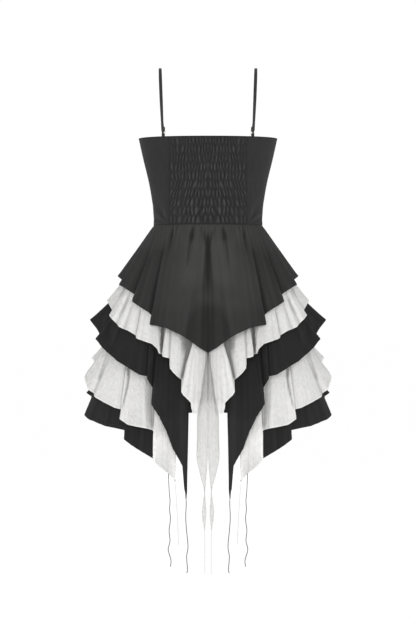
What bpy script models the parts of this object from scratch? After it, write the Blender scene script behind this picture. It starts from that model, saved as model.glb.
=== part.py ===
"""Black and white tiered dress with thin straps, a shirred back and a handkerchief skirt.

The dress is worn by nobody: it keeps its filled-out, hollow form. The back faces -Y, the front +Y
and the wearer's left is -X. The origin is where it is held, midway between the tops of the straps.
Heights are given as a rise above the waist seam or as a drop below it.
"""
import math
from collections import namedtuple

import bmesh
import bpy
from mathutils import Vector

MM = 0.001

# Driving sizes, in metres
WAIST_Z = -0.3575
EDGE_RISE = 0.1965
WALL = 0.0013
BODICE_WALL = 0.0016
GAP = 0.0003

# Bodice sections, in millimetres: the rise above the waist seam, half the width, and how far the back
# and the front stand from the plane of the side seams
Section = namedtuple("Section", "rise half_width back front")
BODICE_SECTIONS = (
    Section(0.0, 122.5, 91.0, 95.0),
    Section(22.0, 122.5, 92.0, 97.0),
    Section(52.0, 125.5, 95.0, 103.0),
    Section(96.0, 133.0, 101.0, 112.0),
    Section(148.0, 145.5, 106.0, 120.0),
    Section(197.0, 156.5, 109.0, 119.0),
)
SECTION_POWER = 2.2

# Bodice cut
SHIRRED_HALF_WIDTH = 0.087
PRINCESS_AT_WAIST = 0.048
PRINCESS_AT_EDGE = 0.084
CUP_ACROSS = 0.074
CUP_RISE = 0.132
CUP_DEPTH = 0.013
CUP_SPREAD = 0.042
NECK_DIP = 0.020
BODICE_ROWS = 7

# Shirring: rows of elastic with cloth puffed up between them
ELASTIC_ROWS = 10
PUCKERS = 24
PUFF_HEIGHT = 0.0024
ROW_PARTS = 2
SHIRRED_INSIDE_STEP = 4

# Skirt base that carries the tiers
UNDERSKIRT_DROP = 0.385
SIDE_FLARE = 0.336
BACK_FLARE = 0.13
FRONT_FLARE = 0.20
SEAM_STAND = 0.0018
UNDERSKIRT_COLUMNS = 20
UNDERSKIRT_ROWS = 3

# Fold making
FOLD_CUT = 5.0
FOLD_CUT_SHARE = 0.3
FOLD_STEPS = 1
TUCK_SEAM_SHARE = 0.4
TUCK_LEAN = 0.5
LEAST_FACING = 0.5
RUN_LENGTH = 60.0
SEAM_STEP = 9.0
FRONT_WAVES = 4
WAVE_DEPTH = 6.0
WAVE_COLUMNS = 4

# A hem corner or fold, in millimetres: where it is sewn round the seam in degrees, its place to the
# side of the centre line and behind the side seams, its drop, how deep the cloth tucks under there,
# and how far the hem rises into the tuck
Corner = namedtuple("Corner", "sewn side back drop tuck rise")
OVERSKIRT_HEM = (
    Corner(0, 0, 172, 286, 0, 0),
    Corner(4, 17, 188, 276, 0, 0),
    Corner(20, 64, 188, 244, 0, 0),
    Corner(31, 93, 177, 233, 0, 0),
    Corner(43, 128, 147, 224, 12, 14),
    Corner(62, 168, 102, 174, 11, 9),
    Corner(79, 200, 38, 135, 10, 6),
    Corner(90, 205, -8, 114, 0, 0),
)
TIER_1_HEM = (
    Corner(2, 24, 193, 404, 0, 0),
    Corner(4, 31, 197, 419, 0, 0),
    Corner(7, 37, 197, 394, 0, 0),
    Corner(14, 59, 194, 376, 20, 14),
    Corner(27, 84, 176, 320, 12, 20),
    Corner(36, 103, 174, 291, 9, 6),
    Corner(44, 124, 158, 268, 0, 0),
    Corner(55, 161, 125, 253, 6, 4),
    Corner(68, 197, 85, 230, 0, 0),
    Corner(78, 223, 45, 204, 8, 3),
    Corner(90, 231, -8, 172, 0, 0),
)
TIER_2_HEM = (
    Corner(5, 26, 176, 395, 0, 0),
    Corner(7, 35, 180, 419, 0, 0),
    Corner(8.5, 43, 184, 418, 0, 0),
    Corner(9.5, 46, 185, 596, 0, 0),
    Corner(10, 48, 185, 612, 0, 0),
    Corner(11, 51, 186, 590, 0, 0),
    Corner(13, 57, 187, 533, 0, 0),
    Corner(19, 76, 188, 500, 0, 0),
    Corner(22, 93, 190, 455, 0, 0),
    Corner(25, 108, 191, 425, 0, 0),
    Corner(29, 125, 190, 400, 20, 28),
    Corner(38, 135, 170, 344, 8, 4),
    Corner(50, 176, 140, 321, 0, 0),
    Corner(66, 227, 80, 286, 0, 0),
    Corner(76, 255, 40, 257, 14, 6),
    Corner(90, 268, -8, 214, 0, 0),
)
TIER_3_HEM = (
    Corner(14, 66, 168, 440, 0, 0),
    Corner(16, 70, 174, 505, 0, 0),
    Corner(17, 73, 176, 567, 0, 0),
    Corner(20, 90, 178, 550, 0, 0),
    Corner(23, 105, 179, 538, 0, 0),
    Corner(27, 122, 178, 522, 11, 52),
    Corner(34, 131, 168, 457, 0, 0),
    Corner(44, 168, 155, 447, 0, 0),
    Corner(54, 195, 143, 433, 14, 10),
    Corner(66, 235, 95, 397, 0, 0),
    Corner(76, 260, 50, 381, 0, 0),
    Corner(85, 281, 8, 343, 14, 12),
    Corner(94, 259, -38, 313, 0, 0),
    Corner(98, 268, -60, 302, 0, 0),
)
TIER_4_HEM = (
    Corner(16, 78, 152, 480, 0, 0),
    Corner(18, 88, 155, 553, 0, 0),
    Corner(26, 122, 158, 520, 0, 0),
    Corner(32, 143, 158, 508, 0, 0),
    Corner(41, 169, 156, 492, 0, 0),
    Corner(48, 186, 148, 479, 14, 18),
    Corner(59, 231, 100, 451, 0, 0),
    Corner(74, 270, 40, 438, 0, 0),
    Corner(84, 281, 10, 430, 14, 15),
    Corner(93, 266, -30, 389, 0, 0),
    Corner(97, 279, -48, 381, 0, 0),
)

# A skirt layer, in millimetres: its hem, where its seam and its knee run at the back, side and front,
# where it hangs straight from, how late it flares, and its reach and drop at the centre front
Level = namedtuple("Level", "back side front")
Layer = namedtuple("Layer", "name hem seam knee straight flare reach drop cloth")
LAYERS = (
    Layer("overskirt", OVERSKIRT_HEM, Level(0, 0, 0), Level(150, 60, 80), 400, 1.0, 160, 140, "black"),
    Layer("tier_1", TIER_1_HEM, Level(150, 54, 70), Level(290, 120, 150), 400, 1.15, 178, 205, "white"),
    Layer("tier_2", TIER_2_HEM, Level(215, 91, 125), Level(330, 160, 200), 430, 1.4, 198, 268, "black"),
    Layer("tier_3", TIER_3_HEM, Level(290, 220, 205), Level(390, 275, 275), 470, 1.2, 215, 335, "white"),
    Layer("tier_4", TIER_4_HEM, Level(330, 318, 285), Level(410, 350, 350), 500, 1.2, 230, 405, "black"),
)
LOW_SHARE = 0.65

# Centre back tail, in millimetres: its drop, inner and outer edge, and how far back it hangs
Strip = namedtuple("Strip", "drop inner outer back")
CENTRE_TAIL = (
    Strip(262, 0.2, 14, 126.8),
    Strip(330, 0.2, 16, 144),
    Strip(392, 0.2, 18, 156),
    Strip(420, 0.2, 23, 160),
    Strip(470, 0.2, 24, 163),
    Strip(511, 0.2, 25, 165),
    Strip(518, 0.6, 25, 165),
    Strip(540, 1.8, 21, 165),
    Strip(565, 3.6, 15.5, 165),
    Strip(583, 5.4, 10, 165),
    Strip(599, 6.2, 9.0, 165),
    Strip(615, 5.2, 11.0, 165),
    Strip(638, 3.6, 13.3, 165),
    Strip(655, 4.6, 12.2, 165),
    Strip(668, 6.0, 9.6, 165),
    Strip(678, 6.6, 8.6, 165),
)
TAIL_CROWN = 3.0
TAIL_COLUMNS = 4

# Straps, in millimetres: places beside, in front of and below the origin, over the shoulder
STRAP_ROUTE = (
    (102.2, -86.5, -132.0),
    (103.4, -88.0, -112.0),
    (105.2, -84.5, -80.0),
    (106.8, -71.0, -46.0),
    (108.0, -46.0, -18.0),
    (108.5, -18.0, -4.0),
    (108.5, 8.0, -1.5),
    (108.5, 36.0, -8.0),
    (108.0, 64.0, -33.0),
    (107.0, 83.0, -70.0),
    (105.8, 91.0, -110.0),
    (104.5, 92.0, -140.0),
)
STRAP_WIDTH = 0.0065
STRAP_THICKNESS = 0.0009
STRAP_STEPS = 3
STRAP_TAIL = 0.009
RING_Z = -0.1525
RING_ACROSS = 0.1012
RING_WIRE = 0.0008
RING_BAR_SPACING = 0.0068
RING_HALF_WIDTH = 0.0047
RING_CORNER = 0.0012
BEND_STEPS = 6

# Loose threads, in millimetres: places beside the centre line, behind the side seams, and drops
THREAD_THICKNESS = 0.0016
FINE_THREAD_THICKNESS = 0.0013
THREAD_STEPS = 3
KNOT_SIZE = 0.0052
BLACK_OUTER_ROUTE = (
    (87.7, 154.4, 553.4), (87, 154, 566), (86, 154, 590), (84, 154, 614), (85, 153, 634),
    (83, 154, 654), (86, 153, 680), (84, 153, 703), (88, 154, 722), (82, 153, 745), (83, 153, 760),
)
BLACK_INNER_ROUTE = (
    (47.9, 184.4, 612.4), (48, 185, 624), (49, 187, 650), (47, 186, 678), (44, 187, 712),
    (47, 186, 735), (45, 187, 763), (47, 187, 771),
)
WHITE_KNOTTED_ROUTE = (
    (72.8, 175.4, 573), (71.5, 175.6, 584), (69, 176, 620), (67, 175, 660), (65.5, 176, 690), (65, 176, 710),
)
WHITE_CENTRE_ROUTE = (
    (7.6, 164.4, 678.4), (7.3, 164.4, 692), (7.0, 164.4, 720), (7.2, 164.4, 750), (7.0, 164.4, 776),
)
Thread = namedtuple("Thread", "name route thickness cloth")
THREADS = (
    Thread("black_outer_thread", BLACK_OUTER_ROUTE, THREAD_THICKNESS, "black"),
    Thread("black_inner_thread", BLACK_INNER_ROUTE, THREAD_THICKNESS, "black"),
    Thread("white_knotted_thread", WHITE_KNOTTED_ROUTE, FINE_THREAD_THICKNESS, "white"),
    Thread("white_centre_thread", WHITE_CENTRE_ROUTE, FINE_THREAD_THICKNESS, "white"),
)

SIDES = (("left", -1.0), ("right", 1.0))


def clear_scene():
    """Remove every object that the file opens with."""
    for item in list(bpy.data.objects):
        bpy.data.objects.remove(item, do_unlink=True)


def make_material(name, colour, roughness, metallic):
    """Return a plain material of one colour."""
    material = bpy.data.materials.new(name)
    material.use_nodes = True
    shader = material.node_tree.nodes["Principled BSDF"]
    shader.inputs["Base Color"].default_value = (*colour, 1.0)
    shader.inputs["Roughness"].default_value = roughness
    shader.inputs["Metallic"].default_value = metallic
    return material


def add_mesh(name, shape, material, collection):
    """Turn a bmesh into a named object with its faces pointing out."""
    bmesh.ops.recalc_face_normals(shape, faces=shape.faces)
    mesh = bpy.data.meshes.new(name)
    shape.to_mesh(mesh)
    shape.free()
    mesh.materials.append(material)
    mesh.shade_smooth()
    item = bpy.data.objects.new(name, mesh)
    collection.objects.link(item)
    return item


def ease(share):
    """Return a smooth step from 0 to 1."""
    return share * share * (3.0 - 2.0 * share)


def blend(low, high, share):
    """Return the value at a share of the way from low to high."""
    return low + (high - low) * share


def scatter(row, column):
    """Return an even spread of values from 0 to 1 that looks irregular."""
    value = math.sin(row * 12.9898 + column * 78.233) * 43758.5453
    return value - math.floor(value)


def curve_through(points, steps):
    """Return points on a smooth curve through the given ones, with some steps to each span."""
    path = [Vector(point) for point in points]
    ends = [path[0] * 2.0 - path[1]] + path + [path[-1] * 2.0 - path[-2]]
    result = []
    for index in range(len(path) - 1):
        before, start, end, after = ends[index:index + 4]
        for step in range(steps):
            share = step / steps
            cubic = (start - end) * 3.0 + after - before
            square = before * 2.0 - start * 5.0 + end * 4.0 - after
            result.append(start + ((end - before) + (square + cubic * share) * share) * share * 0.5)
    result.append(path[-1])
    return result


def read_section(rise):
    """Return the bodice section at a rise in metres, on a smooth curve through the table."""
    height = min(max(rise / MM, BODICE_SECTIONS[0].rise), BODICE_SECTIONS[-1].rise)
    span = 0
    while span < len(BODICE_SECTIONS) - 2 and height > BODICE_SECTIONS[span + 1].rise:
        span += 1
    low, high = BODICE_SECTIONS[span], BODICE_SECTIONS[span + 1]
    before = BODICE_SECTIONS[max(span - 1, 0)]
    after = BODICE_SECTIONS[min(span + 2, len(BODICE_SECTIONS) - 1)]
    width = high.rise - low.rise
    share = (height - low.rise) / width
    values = []
    for column in ("half_width", "back", "front"):
        start, end = getattr(low, column), getattr(high, column)
        slope_in = (end - getattr(before, column)) / (high.rise - before.rise) * width
        slope_out = (getattr(after, column) - start) / (after.rise - low.rise) * width
        turn = share * (1.0 - share)
        bow = turn * ((1.0 - share) * (slope_in - (end - start)) - share * (slope_out - (end - start)))
        values.append((blend(start, end, share) + bow) * MM)
    return values


def round_section(turn, half_width, back, front):
    """Return the side and back place, in metres, at a turn in degrees from the centre back."""
    angle = math.radians(turn)
    power = 2.0 / SECTION_POWER
    across = abs(math.sin(angle)) ** power * half_width
    depth = abs(math.cos(angle)) ** power
    depth = depth * back if math.cos(angle) > 0.0 else -depth * front
    return math.copysign(across, math.sin(angle)), depth


def turn_at(side, rise, facing_back):
    """Return the turn in degrees at which the bodice is a given distance from its centre line."""
    half_width = read_section(rise)[0]
    turn = math.degrees(math.asin((side / half_width) ** (SECTION_POWER / 2.0)))
    return turn if facing_back else 180.0 - turn


def bodice_point(turn, rise):
    """Return the bodice's outer point at a turn and a rise."""
    side, back = round_section(turn, *read_section(rise))
    point = Vector((-side, -back, WAIST_Z + rise))
    if back < 0.0:
        near = math.exp(-((abs(side) - CUP_ACROSS) ** 2 + (rise - CUP_RISE) ** 2) / CUP_SPREAD ** 2)
        point.y += CUP_DEPTH * near * ease(min(1.0, -back / CUP_ACROSS))
    return point


def bodice_normal(turn, rise):
    """Return the outward direction of the bodice at a turn and a rise."""
    along = bodice_point(turn + 0.5, rise) - bodice_point(turn - 0.5, rise)
    rise = min(max(rise, 0.002), EDGE_RISE - 0.002)
    down = bodice_point(turn, rise - 0.002) - bodice_point(turn, rise + 0.002)
    return along.cross(down).normalized()


def neck_rise(side):
    """Return the front top edge's rise: full at the straps and at the sides, dipped at the centre."""
    share = min(1.0, abs(side) / CUP_ACROSS)
    return EDGE_RISE - NECK_DIP * (1.0 - ease(share))


def pull_edges(rows, pull_first, pull_last):
    """Move the first and last point of each row in by half a seam's gap."""
    for row in rows:
        first = (row[1] - row[0]).normalized() * GAP * 0.55
        last = (row[-2] - row[-1]).normalized() * GAP * 0.55
        if pull_first:
            row[0] = row[0] + first
        if pull_last:
            row[-1] = row[-1] + last


def wall_between(name, outer, inner, mirror_from, material, collection):
    """Make a closed wall from an outer and an inner grid; the inner one may skip rows.

    The faces are split the mirrored way from one column on, so that the two sides of the dress match.
    """
    shape = bmesh.new()
    outside = [[shape.verts.new(point) for point in row] for row in outer]
    inside = [[shape.verts.new(point) for point in row] for row in inner]
    step = (len(outside) - 1) // (len(inside) - 1)
    columns = len(outside[0])
    for rows in (outside, inside):
        for upper, lower in zip(rows, rows[1:]):
            for column in range(columns - 1):
                quad = [upper[column], upper[column + 1], lower[column + 1], lower[column]]
                if column >= mirror_from:
                    quad = quad[1:] + quad[:1]
                shape.faces.new(quad[:3])
                shape.faces.new([quad[0], quad[2], quad[3]])
    for rim in (0, -1):
        for column in range(columns - 1):
            near, far = outside[rim], inside[rim]
            shape.faces.new([near[column], near[column + 1], far[column + 1], far[column]])
    for rim in (0, -1):
        for row in range(len(inside) - 1):
            run = [outside[row * step + part][rim] for part in range(step + 1)]
            shape.faces.new(run + [inside[row + 1][rim], inside[row][rim]])
    return add_mesh(name, shape, material, collection)


def make_bodice_panel(name, low_turn, high_turn, columns, edge_rise, material, collection):
    """Make a plain bodice panel between two seams that are given as functions of the rise."""
    outer = []
    inner = []
    for row in range(BODICE_ROWS + 1):
        share = 1.0 - row / BODICE_ROWS
        outer_row = []
        inner_row = []
        for column in range(columns + 1):
            guess = EDGE_RISE * share
            turn = blend(low_turn(guess), high_turn(guess), column / columns)
            rise = edge_rise(bodice_point(turn, guess).x) * share + GAP * 0.5
            turn = blend(low_turn(rise), high_turn(rise), column / columns)
            point = bodice_point(turn, rise)
            outer_row.append(point)
            inner_row.append(point - bodice_normal(turn, rise) * BODICE_WALL)
        outer.append(outer_row)
        inner.append(inner_row)
    pull_edges(outer, True, True)
    pull_edges(inner, True, True)
    return wall_between(name, outer, inner, columns // 2, material, collection)


def make_shirred_panel(material, collection):
    """Make the centre back panel: puckers puffed between rows of elastic, over a plain inside."""
    columns = PUCKERS * 2
    rows = ELASTIC_ROWS * ROW_PARTS
    outer = []
    inner = []
    for row in range(rows + 1):
        rise = EDGE_RISE * (1.0 - row / rows) + GAP * 0.5
        edge = turn_at(SHIRRED_HALF_WIDTH, rise, True)
        band = row // ROW_PARTS
        swell = math.sin(math.pi * (row % ROW_PARTS) / ROW_PARTS)
        outer_row = []
        inner_row = []
        for column in range(columns + 1):
            turn = blend(-edge, edge, column / columns)
            normal = bodice_normal(turn, rise)
            point = bodice_point(turn, rise)
            mirrored = min(column, columns - column)
            ridge = mirrored % 2 * blend(0.5, 1.0, scatter(band, mirrored))
            lift = PUFF_HEIGHT * ridge * blend(0.25, 1.0, swell) if 0 < row < rows else 0.0
            outer_row.append(point + normal * lift)
            inner_row.append(point - normal * BODICE_WALL)
        outer.append(outer_row)
        if row % SHIRRED_INSIDE_STEP == 0:
            inner.append(inner_row)
    pull_edges(outer, True, True)
    pull_edges(inner, True, True)
    return wall_between("bodice_back_shirred", outer, inner, PUCKERS, material, collection)


def make_bodice(cloth, collection):
    """Make the seven bodice panels."""
    def level(side):
        return EDGE_RISE

    def shirred_edge(rise):
        return turn_at(SHIRRED_HALF_WIDTH, rise, True)

    def side_seam(rise):
        return 90.0

    def princess_seam(rise):
        side = blend(PRINCESS_AT_WAIST, PRINCESS_AT_EDGE, rise / EDGE_RISE)
        return turn_at(side, rise, False)

    make_shirred_panel(cloth, collection)
    for side_name, sign in SIDES:
        turns = (shirred_edge, side_seam, princess_seam)
        if sign > 0.0:
            turns = tuple(lambda rise, seam=seam: -seam(rise) for seam in turns)
        make_bodice_panel("bodice_side_back_" + side_name, turns[0], turns[1], 7, level, cloth, collection)
        make_bodice_panel("bodice_side_front_" + side_name, turns[1], turns[2], 10, neck_rise, cloth,
                          collection)
    make_bodice_panel("bodice_front_centre", princess_seam, lambda rise: 360.0 - princess_seam(rise),
                      12, neck_rise, cloth, collection)


def base_point(turn, drop):
    """Return a point on the underskirt's outer side; turn in degrees, drop in metres."""
    low = BODICE_SECTIONS[0]
    half_width = low.half_width * MM + SIDE_FLARE * drop
    back = low.back * MM + BACK_FLARE * drop
    front = low.front * MM + FRONT_FLARE * drop
    side, depth = round_section(turn, half_width, back, front)
    return Vector((-side, -depth, WAIST_Z - drop))


def grid_normals(columns):
    """Return the outward direction at each point of columns that run round the body and down."""
    result = []
    for index, column in enumerate(columns):
        before = columns[max(index - 1, 0)]
        after = columns[min(index + 1, len(columns) - 1)]
        normals = []
        for row in range(len(column)):
            down = column[min(row + 1, len(column) - 1)] - column[max(row - 1, 0)]
            normals.append((after[row] - before[row]).cross(down).normalized())
        result.append(normals)
    return result


def hem_corners(layer):
    """Return the hem from the centre back to the side: sewn turn, side, back, drop, and folded."""
    path = []
    for index, corner in enumerate(layer.hem):
        here = Vector((corner.sewn, corner.side, corner.back, corner.drop))
        path.append((here, corner.tuck > 0))
        if corner.tuck > 0:
            reach = math.hypot(corner.side, corner.back) - corner.tuck
            bearing = math.atan2(corner.side, corner.back) + corner.tuck * TUCK_LEAN / reach
            sewn = blend(corner.sewn, layer.hem[index + 1].sewn, TUCK_SEAM_SHARE)
            side, back = reach * math.sin(bearing), reach * math.cos(bearing)
            path.append((Vector((sewn, side, back, corner.drop - corner.rise)), True))
    return path


def hem_run(layer):
    """Return the hem's points to the side seam, with folds rounded and long runs divided."""
    corners = hem_corners(layer)
    points = []
    for index, (here, folded) in enumerate(corners):
        if not folded:
            points.append(here)
            continue
        ends = []
        for neighbour in (corners[index - 1][0], corners[index + 1][0]):
            length = (neighbour - here).yzw.length
            ends.append(here.lerp(neighbour, min(FOLD_CUT_SHARE, FOLD_CUT / length)))
        for step in range(FOLD_STEPS + 1):
            share = step / FOLD_STEPS
            points.append(ends[0].lerp(here, share).lerp(here.lerp(ends[1], share), share))
    result = [points[0]]
    for here in points[1:]:
        last = result[-1]
        pieces = max(1, math.ceil((here - last).yz.length / RUN_LENGTH),
                     math.ceil((here.x - last.x) / SEAM_STEP))
        for piece in range(1, pieces + 1):
            result.append(last.lerp(here, piece / pieces))
    return result


def front_run(layer, start):
    """Return the plain fluted front hem from the side seam to the centre front."""
    columns = FRONT_WAVES * WAVE_COLUMNS
    bearing = math.atan2(start.y, start.z)
    reach = math.hypot(start.y, start.z)
    points = []
    for column in range(1, columns + 1):
        share = column / columns
        angle = blend(bearing, math.pi, share)
        wave = (math.cos(2.0 * math.pi * FRONT_WAVES * share) - 1.0) * WAVE_DEPTH
        out = blend(reach, layer.reach, ease(share)) + wave * math.sin(share * math.pi / 2.0)
        drop = blend(start.w, layer.drop, ease(share))
        sewn = blend(start.x, 180.0, share)
        points.append(Vector((sewn, out * math.sin(angle), out * math.cos(angle), drop)))
    return points


def level_drop(level, turn):
    """Return how far below the waist a level line runs at a turn, in metres."""
    facing = math.cos(math.radians(turn))
    end = level.back if facing > 0.0 else level.front
    return blend(level.side, end, facing * facing) * MM


def on_base(turn, drop, start):
    """Return the place over the underskirt that cloth sewn on at a drop would have lower down."""
    point = base_point(turn, drop)
    place = Vector((point.x, point.y))
    return place + place.normalized() * (SEAM_STAND if start > 0.0 else 0.0)


def hang_place(layer, hem, drop):
    """Return the point at a drop, in metres, on the line of cloth that ends at a hem point."""
    start = level_drop(layer.seam, hem.x)
    full = min(hem.w, layer.straight) * MM
    share = min(1.0, max(0.0, (drop - start) / (full - start)))
    spread = Vector((-hem.y, -hem.z)) * MM - on_base(hem.x, full, start)
    place = on_base(hem.x, min(drop, full), start) + spread * share ** layer.flare
    return Vector((place.x, place.y, WAIST_Z - drop))


def hang_line(layer, before, hem, after):
    """Return the outer and inner points of one line of cloth from its seam down to its hem."""
    start = level_drop(layer.seam, hem.x)
    knee = level_drop(layer.knee, hem.x)
    end = hem.w * MM
    low = min(layer.straight * MM, blend(knee, end, LOW_SHARE))
    drops = (start + GAP, blend(start, knee, 0.5), knee, low, end)
    outer = []
    inner = []
    for drop in drops:
        here = hang_place(layer, hem, drop)
        along = (hang_place(layer, after, drop) - here).normalized()
        along += (here - hang_place(layer, before, drop)).normalized()
        outward = Vector((here.x, here.y, 0.0)).normalized()
        facing = max(LEAST_FACING, abs(outward.cross(along.normalized()).z))
        outer.append(here)
        inner.append(here - outward * WALL / facing)
    return outer, inner


def make_piece(name, lines, pull_first, pull_last, material, collection):
    """Make one cut piece from the outer and inner points of its lines of cloth."""
    outer = [list(row) for row in zip(*(line[0] for line in lines))]
    inner = [list(row) for row in zip(*(line[1] for line in lines))]
    pull_edges(outer, pull_first, pull_last)
    pull_edges(inner, pull_first, pull_last)
    middle = len(lines) // 2 if pull_first == pull_last else len(lines) * pull_last
    return wall_between(name, outer, inner, middle, material, collection)


def make_layer(layer, material, collection):
    """Make one skirt layer: its back pieces and its front, split at the side seams."""
    back = hem_run(layer)
    half = back + front_run(layer, back[-1])
    hems = half + [Vector((-hem.x, -hem.y, hem.z, hem.w)) for hem in reversed(half[:-1])]
    closed = layer.hem[0].side == 0
    last = len(hems) - 1
    lines = []
    for index, hem in enumerate(hems):
        before = hems[index - 1] if index > 0 else hems[last - 1 if closed else 0]
        after = hems[index + 1] if index < last else hems[1 if closed else last]
        lines.append(hang_line(layer, before, hem, after))
    left_seam = len(back) - 1
    right_seam = last - left_seam
    front = lines[left_seam:right_seam + 1]
    make_piece(layer.name + "_front", front, True, True, material, collection)
    left = lines[:left_seam + 1]
    right = lines[right_seam:]
    if closed:
        make_piece(layer.name + "_back", right[:-1] + left, True, True, material, collection)
    else:
        make_piece(layer.name + "_back_left", left, False, True, material, collection)
        make_piece(layer.name + "_back_right", right, True, False, material, collection)


def thicken(columns):
    """Return the outer and inner points of each column of a plain sheet."""
    lines = []
    for column, normals in zip(columns, grid_normals(columns)):
        lines.append((column, [point - normal * WALL for point, normal in zip(column, normals)]))
    return lines


def make_underskirt(material, collection):
    """Make the plain flared base in a back and a front piece."""
    for name, first_turn in (("underskirt_back", -90.0), ("underskirt_front", 90.0)):
        columns = []
        for column in range(UNDERSKIRT_COLUMNS + 1):
            turn = first_turn + 180.0 * column / UNDERSKIRT_COLUMNS
            points = []
            for row in range(UNDERSKIRT_ROWS + 1):
                drop = blend(GAP, UNDERSKIRT_DROP, row / UNDERSKIRT_ROWS)
                point = base_point(turn, drop)
                inward = -Vector((point.x, point.y, 0.0)).normalized()
                points.append(point + inward * (WALL + GAP * 2.0 if row == 0 else GAP))
            columns.append(points)
        make_piece(name, thicken(columns), True, True, material, collection)


def make_centre_tail(side_name, sign, material, collection):
    """Make one half of the long centre back tail, which ends in a narrow leaf."""
    columns = []
    for column in range(TAIL_COLUMNS + 1):
        share = column / TAIL_COLUMNS
        crown = TAIL_CROWN * math.sin(math.pi * share)
        points = []
        for strip in CENTRE_TAIL:
            side = blend(strip.inner, strip.outer, share)
            fullness = crown * min(1.0, (strip.outer - strip.inner) / 24.0)
            points.append(Vector((sign * side, -(strip.back + fullness), 0.0)) * MM
                          + Vector((0.0, 0.0, WAIST_Z - strip.drop * MM)))
        columns.append(points)
    if sign > 0.0:
        columns.reverse()
    make_piece("centre_tail_" + side_name, thicken(columns), False, False, material, collection)


def make_ribbon(name, route, width, thickness, material, collection):
    """Make a flat strap along a route of points, each with the direction that its width lies in."""
    shape = bmesh.new()
    sections = []
    for index, (point, across) in enumerate(route):
        along = (route[min(index + 1, len(route) - 1)][0] - route[max(index - 1, 0)][0]).normalized()
        out = along.cross(across).normalized() * thickness * 0.5
        half = across * width * 0.5
        corners = (point - half - out, point + half - out, point + half + out, point - half + out)
        sections.append([shape.verts.new(corner) for corner in corners])
    for here, after in zip(sections, sections[1:]):
        for corner in range(4):
            nearby = (corner + 1) % 4
            shape.faces.new([here[corner], here[nearby], after[nearby], after[corner]])
    shape.faces.new(sections[0][::-1])
    shape.faces.new(sections[-1])
    return add_mesh(name, shape, material, collection)


def edge_frame(side, sign, facing_back):
    """Return the turn at which a strap meets the top edge, and the outward and crosswise directions."""
    turn = turn_at(side, EDGE_RISE, facing_back) * -sign
    out = bodice_normal(turn, EDGE_RISE)
    out.z = 0.0
    out.normalize()
    across = Vector((out.y, -out.x, 0.0))
    return turn, out, across if across.x > 0.0 else -across


def inside_edge(turn, out, lower, depth):
    """Return a point inside the bodice's wall, some way below its top edge."""
    return bodice_point(turn, EDGE_RISE - lower) - out * depth


def bend_round_bar(centre, out, direction):
    """Return the points of a strap that bends round a bar of the ring, from its outer to its inner side."""
    radius = RING_WIRE + GAP + STRAP_THICKNESS * 0.5
    points = []
    for step in range(BEND_STEPS + 1):
        angle = math.pi * step / BEND_STEPS
        lift = Vector((0.0, 0.0, direction * radius * math.sin(angle)))
        points.append(centre + out * radius * math.cos(angle) + lift)
    return points


def make_strap(side_name, sign, cloth, metal, collection):
    """Make a strap, its ring and the short loop that holds the ring to the back's top edge."""
    inside = BODICE_WALL + GAP * 2.0 + STRAP_THICKNESS * 0.5
    spread = STRAP_THICKNESS + GAP
    turn, out, across = edge_frame(RING_ACROSS, sign, True)
    ring = inside_edge(turn, out, 0.0, inside + spread * 0.5)
    ring.z = RING_Z
    bar = Vector((0.0, 0.0, RING_BAR_SPACING * 0.5))

    bend = bend_round_bar(ring + bar, out, -1.0)
    route = [(bend[-1] + Vector((0.0, 0.0, STRAP_TAIL)), across)]
    route += [(point, across) for point in reversed(bend)]
    shoulder = [Vector((sign * side, forward, height)) * MM for side, forward, height in STRAP_ROUTE]
    front_turn, front_out, front_across = edge_frame(abs(shoulder[-1].x), sign, False)
    ends = [inside_edge(front_turn, front_out, lower, inside) for lower in (0.0, STRAP_TAIL)]
    path = curve_through([bend[0] + bar * 2.0] + shoulder + [ends[0] + bar], STRAP_STEPS) + ends[1:]
    for index, point in enumerate(path):
        share = index / (len(path) - 1)
        near_back = ease(max(0.0, 1.0 - share * 3.0))
        near_front = ease(max(0.0, share * 3.0 - 2.0))
        level = Vector((1.0 - near_back - near_front, 0.0, 0.0))
        route.append((point, (across * near_back + front_across * near_front + level).normalized()))
    make_ribbon("strap_" + side_name, route, STRAP_WIDTH, STRAP_THICKNESS, cloth, collection)

    loop = bend_round_bar(ring - bar, out, 1.0)
    legs = []
    for depth in (inside, inside + spread):
        legs.append([inside_edge(turn, out, lower, depth) for lower in (STRAP_TAIL, -GAP * 3.0)])
    route = [(point, across) for point in legs[0] + loop + legs[1][::-1]]
    make_ribbon("strap_loop_" + side_name, route, STRAP_WIDTH, STRAP_THICKNESS, cloth, collection)
    make_ring("strap_ring_" + side_name, ring, across, metal, collection)


def make_ring(name, centre, across, metal, collection):
    """Make the oblong wire ring that joins a strap to its loop."""
    points = []
    for turn, (wide, high) in enumerate(((-1.0, 1.0), (1.0, 1.0), (1.0, -1.0), (-1.0, -1.0))):
        for step in range(3):
            angle = math.radians(180.0 - 90.0 * turn - 45.0 * step)
            wide_place = wide * (RING_HALF_WIDTH - RING_CORNER) + math.cos(angle) * RING_CORNER
            high_place = high * (RING_BAR_SPACING * 0.5 - RING_CORNER) + math.sin(angle) * RING_CORNER
            points.append(centre + across * wide_place + Vector((0.0, 0.0, high_place)))
    add_tube(name, points, RING_WIRE, True, metal, collection)


def add_tube(name, points, radius, closed, material, collection):
    """Make a round tube along points, as a curve object."""
    curve = bpy.data.curves.new(name, "CURVE")
    curve.dimensions = "3D"
    curve.bevel_depth = radius
    curve.bevel_resolution = 2
    curve.use_fill_caps = not closed
    spline = curve.splines.new("POLY")
    spline.points.add(len(points) - 1)
    for point, place in zip(spline.points, points):
        point.co = (*place, 1.0)
    spline.use_cyclic_u = closed
    curve.materials.append(material)
    collection.objects.link(bpy.data.objects.new(name, curve))


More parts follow.
